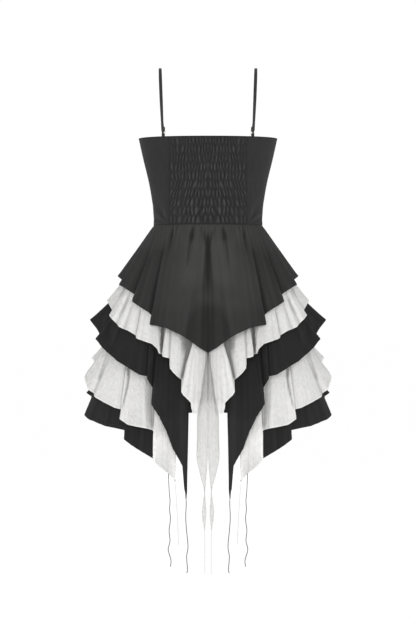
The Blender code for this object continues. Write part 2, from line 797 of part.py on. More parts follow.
def make_thread(thread, side_name, sign, material, collection):
    """Make one loose thread as a thin tube along its route."""
    places = [Vector((sign * side, -back, 0.0)) * MM + Vector((0.0, 0.0, WAIST_Z - drop * MM))
              for side, back, drop in thread.route]
    path = curve_through(places, THREAD_STEPS)
    add_tube(thread.name + "_" + side_name, path, thread.thickness * 0.5, False, material, collection)


def make_knot(side_name, sign, material, collection):
    """Make the knot that the fine white thread hangs from."""
    shape = bmesh.new()
    bmesh.ops.create_uvsphere(shape, u_segments=10, v_segments=6, radius=KNOT_SIZE * 0.5)
    side, back, drop = WHITE_KNOTTED_ROUTE[0]
    centre = Vector((sign * side * MM, -back * MM, WAIST_Z - drop * MM + KNOT_SIZE * 0.5 + GAP))
    bmesh.ops.translate(shape, verts=shape.verts, vec=centre)
    add_mesh("knot_" + side_name, shape, material, collection)


def build():
    """Build the whole dress."""
    clear_scene()
    collection = bpy.data.collections.new("tiered_dress")
    bpy.context.scene.collection.children.link(collection)
    cloths = {
        "black": make_material("black_cotton", (0.030, 0.030, 0.031), 0.85, 0.0),
        "white": make_material("white_crinkled_cotton", (0.78, 0.77, 0.75), 0.90, 0.0),
    }
    metal = make_material("silver_metal", (0.70, 0.70, 0.70), 0.25, 1.0)
    make_bodice(cloths["black"], collection)
    for layer in LAYERS:
        make_layer(layer, cloths[layer.cloth], collection)
    make_underskirt(cloths["white"], collection)
    for side_name, sign in SIDES:
        make_centre_tail(side_name, sign, cloths["white"], collection)
        make_strap(side_name, sign, cloths["black"], metal, collection)
        make_knot(side_name, sign, cloths["white"], collection)
        for thread in THREADS:
            make_thread(thread, side_name, sign, cloths[thread.cloth], collection)


build()
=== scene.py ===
"""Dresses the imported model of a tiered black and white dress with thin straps.

The back of the dress faces -Y, its front +Y and the wearer's left is -X. The origin is midway between
the tops of the straps. Sizes in the tables are in millimetres; a drop is measured down from the waist
seam and a rise up from it.
"""
from __future__ import annotations

import logging
import math
from collections import namedtuple
from dataclasses import dataclass, field
from enum import Enum
from typing import Callable, Sequence

import bmesh
import bpy
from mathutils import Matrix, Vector, noise


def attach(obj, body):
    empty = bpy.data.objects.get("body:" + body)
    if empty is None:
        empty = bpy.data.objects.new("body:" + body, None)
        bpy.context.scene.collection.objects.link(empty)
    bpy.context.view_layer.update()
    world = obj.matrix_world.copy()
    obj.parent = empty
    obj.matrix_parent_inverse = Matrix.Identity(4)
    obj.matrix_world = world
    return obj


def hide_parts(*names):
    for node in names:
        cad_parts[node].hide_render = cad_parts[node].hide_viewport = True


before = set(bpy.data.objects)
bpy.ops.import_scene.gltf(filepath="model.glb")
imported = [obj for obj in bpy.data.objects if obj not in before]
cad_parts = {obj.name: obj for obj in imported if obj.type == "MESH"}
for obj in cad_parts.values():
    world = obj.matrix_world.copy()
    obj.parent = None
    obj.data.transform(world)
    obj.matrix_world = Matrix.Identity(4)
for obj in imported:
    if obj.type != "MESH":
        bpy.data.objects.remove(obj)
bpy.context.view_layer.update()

LOG = logging.getLogger("dress")
MM = 0.001
BODY = "root"
LIE = "lie"
# The attribute that holds each point's painted light and shade
SHADE_ATTRIBUTE = "fold"
UV_NAME = "cloth"

WAIST_Z = -0.3575
EDGE_RISE = 0.1965
GAP = 0.0003

# How far stitches stand off the cloth, and the heights of a hem's lines of stitches above its edge
HEM_STITCH_STAND = 0.00045
BASE_STITCH_STAND = 0.0003
BLACK_HEM_LINES = (0.0022, 0.0068)
WHITE_HEM_LINES = (0.0050,)

Section = namedtuple("Section", "rise half_width back front")
BODICE_SECTIONS = (
    Section(0.0, 122.5, 91.0, 95.0),
    Section(22.0, 122.5, 92.0, 97.0),
    Section(52.0, 125.5, 95.0, 103.0),
    Section(96.0, 133.0, 101.0, 112.0),
    Section(148.0, 145.5, 106.0, 120.0),
    Section(197.0, 156.5, 109.0, 119.0),
)

# A hem corner: where it is sewn round the seam in degrees, its place to the side of the centre line and
# behind the side seams, and its drop. A tuck is how deep the cloth steps in behind the corner's fold, and
# a rise how far the hem runs up there. Many sides and drops are places that were read off the photo and
# turned into millimetres outside this script
Corner = namedtuple("Corner", "sewn side back drop tuck rise", defaults=(0, 0))
OVERSKIRT_HEM = (
    Corner(0, 0, 164, 287),
    Corner(2.5, 17, 173, 277),
    Corner(9, 51, 190, 252),
    Corner(20, 66, 191, 244),
    Corner(30, 92, 189, 232),
    Corner(36, 110, 176, 228),
    Corner(43, 129, 148, 225),
    Corner(44, 125, 133, 203),
    Corner(46.5, 135, 133, 195),
    Corner(54, 151, 125, 185),
    Corner(62, 170, 102, 173),
    Corner(63, 164, 89, 157),
    Corner(69, 182, 76, 146),
    Corner(79, 201, 38, 135),
    Corner(80, 194, 26, 124),
    Corner(90, 206, -8, 115),
)
TIER_1_HEM = (
    Corner(0.2, 1.5, 152, 287),
    Corner(0.4, 8, 164, 325),
    Corner(0.7, 12.5, 175, 358),
    Corner(1, 15.5, 183, 385),
    Corner(1.3, 21, 190, 402),
    Corner(1.5, 23, 191, 419),
    Corner(2, 33, 197, 420),
    Corner(2.3, 37, 198, 408),
    Corner(2.4, 38, 198, 395),
    Corner(3, 53, 197, 381),
    Corner(3.4, 59, 196, 373),
    Corner(5, 58, 175, 346),
    Corner(10, 65, 177, 341),
    Corner(16, 73, 187, 333),
    Corner(22, 84, 188, 321),
    Corner(25, 84, 183, 298),
    Corner(28, 92, 186, 297),
    Corner(30.5, 101, 183, 294),
    Corner(36, 99, 164, 290),
    Corner(41, 108, 180, 288),
    Corner(42, 112, 173, 278),
    Corner(44, 124, 160, 267),
    Corner(49, 142, 149, 261),
    Corner(51, 147, 142, 259),
    Corner(53, 154, 138, 257),
    Corner(55, 160, 129, 254),
    Corner(56, 160, 118, 249),
    Corner(61, 178, 110, 238),
    Corner(64, 187, 92, 235),
    Corner(68, 199, 89, 230),
    Corner(71, 205, 71, 222),
    Corner(73, 215, 68, 213),
    Corner(78, 223, 45, 204),
    Corner(80, 216, 34, 193),
    Corner(90, 230, -8, 171),
)
TIER_2_HEM = (
    Corner(5, 26, 176, 395),
    Corner(7, 35, 180, 419),
    Corner(8.5, 43, 184, 418),
    Corner(9.5, 46, 185, 596),
    Corner(10, 48, 185, 612),
    Corner(11, 51, 186, 590),
    Corner(13, 57, 187, 533),
    Corner(19, 76, 188, 500),
    Corner(22, 93, 190, 455),
    Corner(25, 108, 191, 425),
    Corner(29, 125, 190, 400, 20, 36),
    Corner(38, 135, 170, 344, 8, 5),
    Corner(43, 152, 162, 335),
    Corner(50, 176, 140, 321),
    Corner(58, 203, 108, 305),
    Corner(66, 227, 80, 286),
    Corner(76, 255, 40, 257, 14, 8),
    Corner(90, 268, -8, 214),
)
TIER_3_HEM = (
    Corner(14, 66, 168, 440),
    Corner(16, 70, 174, 505),
    Corner(17, 73, 176, 567),
    Corner(20, 90, 178, 550),
    Corner(23, 105, 179, 538),
    Corner(27, 122, 178, 522),
    Corner(29, 114, 157, 464),
    Corner(36, 126, 161, 456),
    Corner(39, 137, 172, 453),
    Corner(41, 157, 163, 450),
    Corner(48, 177, 153, 446),
    Corner(54, 196, 143, 434),
    Corner(56, 192, 126, 413),
    Corner(60, 207, 117, 410),
    Corner(66, 232, 96, 399),
    Corner(73, 255, 68, 387),
    Corner(77, 257, 46, 380),
    Corner(80, 270, 38, 372),
    Corner(85, 281, 8, 345),
    Corner(88, 274, -6, 331),
    Corner(94, 258, -38, 313),
    Corner(98, 267, -60, 301),
)
TIER_4_HEM = (
    Corner(16, 78, 152, 480),
    Corner(18, 88, 155, 553),
    Corner(26, 122, 158, 520),
    Corner(32, 143, 158, 508),
    Corner(41, 169, 156, 492),
    Corner(48, 186, 148, 479, 14, 19),
    Corner(59, 231, 100, 451),
    Corner(74, 270, 40, 438),
    Corner(84, 281, 10, 430, 14, 30),
    Corner(93, 266, -30, 389),
    Corner(97, 279, -48, 381),
)
# A crease that starts at the seam: its turn there and at its foot, how far down it runs, how deep it is
# and how many degrees wide
Crease = namedtuple("Crease", "sewn foot length depth width")
OVERSKIRT_CREASES = (
    Crease(4.6, 0.3, 55, 5.0, 1.0),
    Crease(0, 0, 190, 4.0, 1.1),
    Crease(9.0, 8.0, 34, 2.5, 1.0),
    Crease(14, 14.5, 120, 5.0, 1.4),
    Crease(20, 21, 40, 2.5, 1.3),
    Crease(27, 29, 48, 1.2, 1.5),
    Crease(36, 38, 100, 3.5, 1.8),
)
# Soft bands of painted light (above 0) and painted shade (below 0) on the back's cloth: shade in the hollows
# of pleats and creases, less light towards the sides and the foot, and highlights on crests and on panels
# that face the light. Each band gives how much, how soft towards the centre, towards the side, at the top and
# at the foot, and rows of a drop, a distance from the centre line and half a width.
# Most rows were read off the photo and turned into millimetres outside this script
Shade = namedtuple("Shade", "amount inner outer top foot rows")
OVERSKIRT_SHADES = (
    Shade(-0.3, 70, 60, 1, 1, ((0, 190, 90), (50, 196, 96), (130, 226, 108), (250, 230, 106))),
    Shade(-0.26, 8, 60, 30, 1, ((40, 194, 96), (83, 208, 100), (130, 222, 104), (250, 226, 102))),
    Shade(-0.22, 60, 60, 34, 1, ((172, 0, 300), (300, 0, 300))),
    Shade(0.75, 22, 26, 16, 40, ((25, 26.5, 6.6), (87, 28.7, 13.2), (153, 30.9, 11))),
    Shade(-0.24, 2.5, 6, 10, 10, ((50, 98.2, 2.6), (67, 102.4, 3.3), (83, 107.7, 3.5), (105, 112.1, 4),
          (138, 120.1, 4.4), (160, 122.7, 4), (195, 125.4, 1.8))),
    Shade(-0.24, 2.5, 5, 8, 8, ((69, 129.9, 2.2), (87, 136.6, 2.7), (105, 145.6, 3.1),
          (127, 153.6, 3.3), (151, 160.7, 2.7))),
    Shade(-1.0, 1.8, 2.4, 2, 14, ((1, 33.6, 2), (28, 36.5, 2.4), (48, 39.9, 2.4),
          (70, 44.1, 2), (99, 48.6, 1.3))),
    Shade(-0.35, 2, 3, 2, 10, ((1, 54, 2), (30, 58, 1.5))),
    Shade(-0.3, 2, 3, 2, 10, ((1, 68, 2), (22, 71, 1.5))),
    Shade(-0.3, 2, 3, 2, 10, ((1, 79, 2), (36, 84, 1.5))),
    Shade(-0.5, 1.6, 1.6, 3, 6, ((3, 18.5, 1.1), (10, 16.5, 1.1), (33, 8.9, 1.6), (50, 3.1, 1.3))),
    Shade(-0.95, 2, 3.5, 8, 70, ((21, 0, 1.8), (50, 0, 3.5), (72, 0, 6),
          (94, 0, 8), (127, 0, 10.5), (172, 0, 13))),
    Shade(-0.14, 2, 3, 50, 50, ((105, 0, 9), (127, 0, 10.5), (190, 0, 14), (240, 0, 17))),
    Shade(0.35, 1, 6, 20, 60, ((60, 0, 1), (230, 0, 3))),
    Shade(-0.34, 2, 14, 30, 1, ((160, 0, 14), (193, 0, 25), (220, 0, 38), (250, 0, 48), (286, 0, 57))),
    Shade(0.3, 1, 7, 30, 1, ((190, 0, 1), (290, 0, 1))),
)
TIER_1_SHADES = (
    Shade(-1.2, 1.4, 1.4, 1, 4, ((220, 97.2, 5.5), (235, 98.5, 4.8), (255, 100.7, 3.7),
          (272, 102.9, 2.6), (290, 104.4, 1.5))),
    Shade(-1.2, 1.6, 1.6, 1, 4, ((255, 36.1, 5.3), (272, 41, 4.4), (292, 47.4, 4.2),
          (308, 51.6, 3.1), (325, 54.6, 2.2), (345, 58.2, 1.5))),
    Shade(-0.62, 3, 5, 1, 34, ((237, 51.8, 9.9), (255, 51.1, 7), (272, 52.9, 4), (300, 58, 1.4))),
    Shade(-0.3, 2, 5, 1, 10, ((136, 185.6, 2.7), (153, 191.6, 3.1), (169, 197.7, 2.2))),
    Shade(-0.26, 3, 6, 1, 24, ((165, 175, 4.4), (180, 181, 3.9), (191, 188.7, 2.6), (212, 201, 1.8))),
    Shade(-0.22, 1.5, 1.5, 1, 6, ((175, 161.2, 1.5), (193, 166.5, 1.3))),
    Shade(-0.14, 1.5, 2.5, 1, 10, ((193, 150.4, 1.5), (220, 153.5, 1.8), (242, 157.5, 1.3))),
    Shade(-0.1, 8, 8, 30, 1, ((250, 20, 30), (440, 30, 34))),
    Shade(-0.16, 2, 3, 10, 10, ((285, 26, 1.5), (400, 33, 1.5))),
    Shade(-0.12, 2, 3, 10, 10, ((285, 17, 1.2), (400, 22, 1.2))),
    Shade(-0.1, 2, 3, 10, 10, ((285, 35, 1.2), (400, 45, 1.2))),
)
TIER_2_SHADES = (
    Shade(-0.5, 2, 6, 1, 10, ((286, 111.2, 4.4), (308, 112.7, 5.3), (336, 115.4, 4.8), (360, 118, 2.6))),
    Shade(0.6, 2, 3, 1, 10, ((286, 124.2, 1.8), (316, 127.3, 1.8))),
    Shade(0.5, 3, 3, 1, 20, ((206, 232.5, 2.7), (246, 242.5, 2.2))),
    Shade(0.5, 3, 3, 1, 20, ((233, 207.6, 2.7), (282, 215.4, 2.2))),
    Shade(-0.4, 4, 4, 1, 20, ((220, 222.3, 3.6), (271, 230.1, 3.6))),
)
TIER_3_SHADES = (
    Shade(-0.75, 1.5, 3, 1, 16, ((317, 178.8, 3.3), (337, 176.2, 2.4), (352, 177.9, 2),
          (370, 181, 1.8), (392, 186.3, 1.5), (418, 192.5, 1.1))),
    Shade(-0.28, 1.5, 8, 1, 10, ((317, 182.1, 4.4), (343, 178.8, 2.2))),
    Shade(-0.45, 2.5, 7, 1, 14, ((343, 129.1, 5.3), (365, 126.3, 5.3),
          (403, 125.8, 4.9), (458, 121.4, 3.1))),
    Shade(-0.38, 2, 3.5, 1, 10, ((282, 223.9, 2.4), (299, 230.6, 2.2), (326, 239.4, 2), (353, 247, 1.6))),
    Shade(-0.18, 2, 3, 1, 10, ((282, 241, 1.8), (313, 256.5, 1.8))),
    Shade(-0.1, 30, 30, 60, 1, ((380, 90, 70), (600, 90, 70))),
    Shade(-0.3, 30, 30, 100, 1, ((470, 85, 70), (640, 85, 70))),
)

Level = namedtuple("Level", "back side front")

# Centre back tail: its drop, inner and outer edge, and how far back it hangs
Strip = namedtuple("Strip", "drop inner outer back")
CENTRE_TAIL = (
    Strip(262, 0.2, 14, 126.8),
    Strip(330, 0.2, 16, 144),
    Strip(392, 0.2, 18, 156),
    Strip(420, 0.2, 23, 160),
    Strip(470, 0.2, 24, 163),
    Strip(511, 0.2, 25, 165),
    Strip(518, 0.6, 25, 165),
    Strip(540, 1.8, 21, 165),
    Strip(565, 3.6, 15.5, 165),
    Strip(583, 5.4, 10, 165),
    Strip(599, 6.2, 9.0, 165),
    Strip(615, 5.2, 11.0, 165),
    Strip(638, 3.6, 13.3, 165),
    Strip(655, 4.6, 12.2, 165),
    Strip(668, 6.0, 9.6, 165),
    Strip(678, 6.6, 8.6, 165),
)

# Straps, over the shoulder: places beside the origin, in front of it (below 0: behind it) and above it
# (below 0: below it)
STRAP_ROUTE = (
    (102.2, -86.5, -132.0),
    (103.4, -88.0, -112.0),
    (105.2, -84.5, -80.0),
    (106.8, -71.0, -46.0),
    (108.0, -46.0, -18.0),
    (108.5, -18.0, -4.0),
    (108.5, 8.0, -1.5),
    (108.5, 36.0, -8.0),
    (108.0, 64.0, -33.0),
    (107.0, 83.0, -70.0),
    (105.8, 91.0, -110.0),
    (104.5, 92.0, -140.0),
)

# Loose threads: places beside the centre line, behind the side seams, and drops
BLACK_OUTER_ROUTE = (
    (87.7, 154.4, 553.4), (87, 154, 566), (86, 154, 590), (84, 154, 614), (85, 153, 634),
    (83, 154, 654), (86, 153, 680), (84, 153, 703), (88, 154, 722), (82, 153, 745), (83, 153, 760),
)
BLACK_INNER_ROUTE = (
    (47.9, 184.4, 612.4), (48, 185, 624), (49, 187, 650), (47, 186, 678), (44, 187, 712),
    (47, 186, 735), (45, 187, 763), (47, 187, 771),
)
WHITE_KNOTTED_ROUTE = (
    (72.8, 175.4, 573), (71.5, 175.6, 584), (69, 176, 620), (67, 175, 660), (65.5, 176, 690), (65, 176, 710),
)
WHITE_CENTRE_ROUTE = (
    (7.6, 164.4, 678.4), (7.3, 164.4, 692), (7.0, 164.4, 720), (7.2, 164.4, 750), (7.0, 164.4, 776),
)


class Side(Enum):
    """The two sides of the dress, with the sign of X on each."""

    LEFT = -1.0
    RIGHT = 1.0

    @property
    def word(self) -> str:
        """The side's word in a piece's name."""
        return self.name.lower()


class Cloth(Enum):
    """The record's material slots."""

    BLACK = "black_cotton"
    WHITE = "white_crinkled_cotton"
    METAL = "silver_metal"


class Facing(Enum):
    """Which part of a skirt layer a piece is cut for."""

    BACK = "back"
    BACK_LEFT = "back_left"
    BACK_RIGHT = "back_right"
    FRONT = "front"


def blend(low: float, high: float, share: float) -> float:
    """Return the value at a share of the way from low to high."""
    return low + (high - low) * share


def ease(share: float) -> float:
    """Return a smooth step from 0 to 1 for a share that may lie outside them."""
    share = min(1.0, max(0.0, share))
    return share * share * (3.0 - 2.0 * share)


def level_out(point: Vector) -> Vector:
    """Return the level direction from the dress's axis out to a point."""
    return Vector((point.x, point.y, 0.0)).normalized()


def curve_through(points: Sequence[Sequence[float]], steps: int) -> list[Vector]:
    """Return points on a smooth curve through the given ones.

    Args:
        points: Places that the curve passes through.
        steps: How many pieces each span is divided into.

    Returns:
        The points of the finer path, ends included.
    """
    path = [Vector(point) for point in points]
    ends = [path[0] * 2.0 - path[1]] + path + [path[-1] * 2.0 - path[-2]]
    result = []
    for index in range(len(path) - 1):
        before, start, end, after = ends[index:index + 4]
        for step in range(steps):
            share = step / steps
            cubic = (start - end) * 3.0 + after - before
            square = before * 2.0 - start * 5.0 + end * 4.0 - after
            result.append(start + ((end - before) + (square + cubic * share) * share) * share * 0.5)
    result.append(path[-1])
    return result


def smooth_row(table: Sequence[Sequence[float]], place: float) -> list[float]:
    """Return a table's values at a place in its first column, on a smooth curve through the rows.

    Args:
        table: Rows in the order of their first column.
        place: Where to read it, held between the first and the last row.

    Returns:
        The values of the other columns.
    """
    place = min(max(place, table[0][0]), table[-1][0])
    span = 0
    while span < len(table) - 2 and place > table[span + 1][0]:
        span += 1
    low, high = table[span], table[span + 1]
    before = table[max(span - 1, 0)]
    after = table[min(span + 2, len(table) - 1)]
    width = high[0] - low[0]
    share = (place - low[0]) / width
    values = []
    for column in range(1, len(low)):
        change = high[column] - low[column]
        slope_in = (high[column] - before[column]) / (high[0] - before[0]) * width
        slope_out = (after[column] - low[column]) / (after[0] - low[0]) * width
        bow = (1.0 - share) * (slope_in - change) - share * (slope_out - change)
        values.append(low[column] + share * change + share * (1.0 - share) * bow)
    return values


@dataclass(frozen=True)
class Figure:
    """The filled-out form that the dress is cut for."""

    power: float = 2.2
    side_flare: float = 0.336
    back_flare: float = 0.13
    front_flare: float = 0.20
    cup_across: float = 0.074
    cup_rise: float = 0.132
    cup_depth: float = 0.013
    cup_spread: float = 0.042
    neck_dip: float = 0.020

    def section(self, rise: float) -> list[float]:
        """Return half the width, and the back and front places, at a rise in metres."""
        return [value * MM for value in smooth_row(BODICE_SECTIONS, rise / MM)]

    def round_section(self, turn: float, half_width: float, back: float, front: float) -> tuple[float, float]:
        """Return the side and back place at a turn in degrees from the centre back."""
        angle = math.radians(turn)
        power = 2.0 / self.power
        across = abs(math.sin(angle)) ** power * half_width
        depth = abs(math.cos(angle)) ** power
        depth = depth * back if math.cos(angle) > 0.0 else -depth * front
        return math.copysign(across, math.sin(angle)), depth

    def turn_at(self, side: float, rise: float, facing_back: bool) -> float:
        """Return the turn at which the bodice is a given distance from its centre line."""
        turn = math.degrees(math.asin((side / self.section(rise)[0]) ** (self.power / 2.0)))
        return turn if facing_back else 180.0 - turn

    def bodice_point(self, turn: float, rise: float) -> Vector:
        """Return the bodice's outer point at a turn and a rise."""
        side, back = self.round_section(turn, *self.section(rise))
        point = Vector((-side, -back, WAIST_Z + rise))
        if back < 0.0:
            spread = (abs(side) - self.cup_across) ** 2 + (rise - self.cup_rise) ** 2
            near = math.exp(-spread / self.cup_spread ** 2)
            point.y += self.cup_depth * near * ease(-back / self.cup_across)
        return point

    def bodice_normal(self, turn: float, rise: float) -> Vector:
        """Return the outward direction of the bodice at a turn and a rise."""
        along = self.bodice_point(turn + 0.5, rise) - self.bodice_point(turn - 0.5, rise)
        rise = min(max(rise, 0.002), EDGE_RISE - 0.002)
        down = self.bodice_point(turn, rise - 0.002) - self.bodice_point(turn, rise + 0.002)
        return along.cross(down).normalized()

    def neck_rise(self, side: float) -> float:
        """Return the front top edge's rise, dipped at the centre."""
        return EDGE_RISE - self.neck_dip * (1.0 - ease(abs(side) / self.cup_across))

    def base_point(self, turn: float, drop: float) -> Vector:
        """Return a point on the underskirt's outer side at a turn and a drop in metres."""
        low = BODICE_SECTIONS[0]
        half_width = low.half_width * MM + self.side_flare * drop
        back = low.back * MM + self.back_flare * drop
        front = low.front * MM + self.front_flare * drop
        side, depth = self.round_section(turn, half_width, back, front)
        return Vector((-side, -depth, WAIST_Z - drop))


class NodeBoard:
    """A node tree with short ways to add nodes to it and join them."""

    tree: bpy.types.NodeTree

    def add(self, kind: str, settings: dict | None = None, **inputs: object) -> bpy.types.Node:
        """Add a node.

        Args:
            kind: The node's Blender type.
            settings: Attributes to set on the node.
            inputs: Values or output sockets for its inputs, by name with _ for spaces.

        Returns:
            The new node.
        """
        node = self.tree.nodes.new(kind)
        for key, value in (settings or {}).items():
            setattr(node, key, value)
        for key, value in inputs.items():
            self.feed(node.inputs[key.replace("_", " ")], value)
        return node

    def feed(self, socket: bpy.types.NodeSocket, value: object) -> None:
        """Set an input socket, or link an output socket to it."""
        if isinstance(value, bpy.types.NodeSocket):
            self.tree.links.new(value, socket)
        else:
            socket.default_value = value

    def math(self, operation: str, first: object, second: object) -> bpy.types.NodeSocket:
        """Return the output of a math node on two values or sockets."""
        node = self.add("ShaderNodeMath", {"operation": operation})
        self.feed(node.inputs[0], first)
        self.feed(node.inputs[1], second)
        return node.outputs[0]


class ShaderBoard(NodeBoard):
    """A material under construction."""

    def __init__(self, name: str) -> None:
        """Start an empty material with a Principled BSDF joined to its output."""
        self.material = bpy.data.materials.new(name)
        self.material.use_nodes = True
        self.tree = self.material.node_tree
        self.tree.nodes.clear()
        output = self.tree.nodes.new("ShaderNodeOutputMaterial")
        self.shader = self.tree.nodes.new("ShaderNodeBsdfPrincipled")
        self.tree.links.new(self.shader.outputs[0], output.inputs[0])


@dataclass(frozen=True)
class CottonFinish:
    """A woven cotton: its colour, its weave and its crinkle, read from the cloth's own UV map in metres.

    Shade and highlights are painted into its colour from an attribute.
    """

    name: str
    light: tuple[float, float, float]
    dark: tuple[float, float, float]
    roughness: float
    sheen: float
    weave_pitch: float
    weave_depth: float
    crinkle_width: float
    crinkle_length: float
    crinkle_depth: float
    # How dark the painted shade in a hollow goes, and how light the painted highlight on a crest
    hollow: float
    crest: float
    transmission: float = 0.0

    def make(self) -> bpy.types.Material:
        """Return the finished material."""
        board = ShaderBoard(self.name)
        uv = board.add("ShaderNodeUVMap", {"uv_map": UV_NAME}).outputs[0]
        place = board.add("ShaderNodeTexCoord").outputs["Object"]
        scale = 2.0 * math.pi / (20.0 * self.weave_pitch)
        threads = []
        for direction in ("X", "Y"):
            wave = board.add("ShaderNodeTexWave", {"wave_type": "BANDS", "bands_direction": direction},
                             Vector=uv, Scale=scale, Distortion=0.6, Detail=1.0, Detail_Scale=1.5)
            threads.append(wave.outputs["Fac"])
        weave = board.math("MULTIPLY", threads[0], threads[1])
        stretch = board.add("ShaderNodeMapping", Vector=uv,
                            Scale=(1.0 / self.crinkle_width, 1.0 / self.crinkle_length, 1.0))
        crinkle = board.add("ShaderNodeTexNoise", Vector=stretch.outputs[0], Scale=1.0, Detail=3.0,
                            Roughness=0.6, Distortion=0.4).outputs["Fac"]
        slub_map = board.add("ShaderNodeMapping", Vector=uv, Scale=(2200.0, 160.0, 1.0))
        slub = board.add("ShaderNodeTexNoise", Vector=slub_map.outputs[0], Scale=1.0,
                         Detail=2.0).outputs["Fac"]
        patch = board.add("ShaderNodeTexNoise", Vector=place, Scale=9.0, Detail=3.0).outputs["Fac"]
        tone = board.math("ADD", board.math("MULTIPLY", slub, 0.35), board.math("MULTIPLY", crinkle, 0.35))
        tone = board.math("ADD", tone, board.math("MULTIPLY", patch, 0.30))
        tone = board.math("ADD", tone, board.math("MULTIPLY", weave, 0.10))
        ramp = board.add("ShaderNodeValToRGB", Fac=tone)
        ramp.color_ramp.elements[0].position = 0.34
        ramp.color_ramp.elements[0].color = (*self.dark, 1.0)
        ramp.color_ramp.elements[1].position = 0.66
        ramp.color_ramp.elements[1].color = (*self.light, 1.0)
        fold = board.add("ShaderNodeBump", Strength=1.0, Distance=self.crinkle_depth, Height=crinkle)
        yarn = board.add("ShaderNodeBump", Strength=0.6, Distance=self.weave_depth, Height=weave,
                         Normal=fold.outputs[0])
        slubs = board.add("ShaderNodeBump", Strength=0.4, Distance=self.weave_depth, Height=slub,
                          Normal=yarn.outputs[0])
        rough = board.add("ShaderNodeMapRange", Value=slub, To_Min=self.roughness - 0.06,
                          To_Max=self.roughness + 0.06)
        # Painted light and shade: the colour is darkened where the attribute is below 0, as shade in hollows,
        # and lightened where it is above 0, as highlights on crests
        painted_amount = board.add("ShaderNodeAttribute", {"attribute_name": SHADE_ATTRIBUTE}).outputs["Fac"]
        painted_shade = board.math("MULTIPLY", board.math("MINIMUM", painted_amount, 0.0), 1.0 - self.hollow)
        lift = board.math("MULTIPLY", board.math("MAXIMUM", painted_amount, 0.0), self.crest - 1.0)
        painted_light_scale = board.math("ADD", board.math("ADD", painted_shade, lift), 1.0)
        colour = board.add("ShaderNodeVectorMath", {"operation": "SCALE"})
        board.feed(colour.inputs[0], ramp.outputs[0])
        board.feed(colour.inputs["Scale"], painted_light_scale)
        shader = board.shader
        board.feed(shader.inputs["Base Color"], colour.outputs[0])
        board.feed(shader.inputs["Roughness"], rough.outputs[0])
        board.feed(shader.inputs["Normal"], slubs.outputs[0])
        shader.inputs["Sheen Weight"].default_value = self.sheen
        shader.inputs["Sheen Roughness"].default_value = 0.5
        shader.inputs["Specular IOR Level"].default_value = 0.25
        shader.inputs["Subsurface Weight"].default_value = self.transmission
        shader.inputs["Subsurface Radius"].default_value = (0.004, 0.004, 0.004)
        return board.material


@dataclass(frozen=True)
class ThreadFinish:
    """A twisted thread or a sewn stitch."""

    name: str
    colour: tuple[float, float, float]
    roughness: float = 0.7

    def make(self) -> bpy.types.Material:
        """Return the finished material."""
        board = ShaderBoard(self.name)
        place = board.add("ShaderNodeTexCoord").outputs["Object"]
        ply = board.add("ShaderNodeTexWave", {"bands_direction": "DIAGONAL"}, Vector=place, Scale=420.0,
                        Distortion=0.5)
        fuzz = board.add("ShaderNodeTexNoise", Vector=place, Scale=900.0, Detail=2.0)
        shade = board.math("ADD", board.math("MULTIPLY", ply.outputs["Fac"], 0.5),
                           board.math("MULTIPLY", fuzz.outputs["Fac"], 0.5))
        ramp = board.add("ShaderNodeValToRGB", Fac=shade)
        ramp.color_ramp.elements[0].color = (*(value * 0.75 for value in self.colour), 1.0)
        ramp.color_ramp.elements[1].color = (*(min(1.0, value * 1.2) for value in self.colour), 1.0)
        bump = board.add("ShaderNodeBump", Strength=0.5, Distance=0.0001, Height=shade)
        board.feed(board.shader.inputs["Base Color"], ramp.outputs[0])
        board.feed(board.shader.inputs["Normal"], bump.outputs[0])
        board.shader.inputs["Roughness"].default_value = self.roughness
        board.shader.inputs["Sheen Weight"].default_value = 0.2
        return board.material


@dataclass(frozen=True)
class SilverWireFinish:
    """Polished silver-coloured wire with fine rubbing marks."""

    name: str = "polished_silver_wire"
    colour: tuple[float, float, float] = (0.86, 0.86, 0.85)

    def make(self) -> bpy.types.Material:
        """Return the finished material."""
        board = ShaderBoard(self.name)
        place = board.add("ShaderNodeTexCoord").outputs["Object"]
        rub = board.add("ShaderNodeTexNoise", Vector=place, Scale=1500.0, Detail=3.0)
        rough = board.add("ShaderNodeMapRange", Value=rub.outputs["Fac"], To_Min=0.30, To_Max=0.50)
        ramp = board.add("ShaderNodeValToRGB", Fac=rub.outputs["Fac"])
        ramp.color_ramp.elements[0].color = (*(value * 0.85 for value in self.colour), 1.0)
        ramp.color_ramp.elements[1].color = (*self.colour, 1.0)
        board.feed(board.shader.inputs["Base Color"], ramp.outputs[0])
        board.feed(board.shader.inputs["Roughness"], rough.outputs[0])
        board.shader.inputs["Metallic"].default_value = 1.0
        return board.material


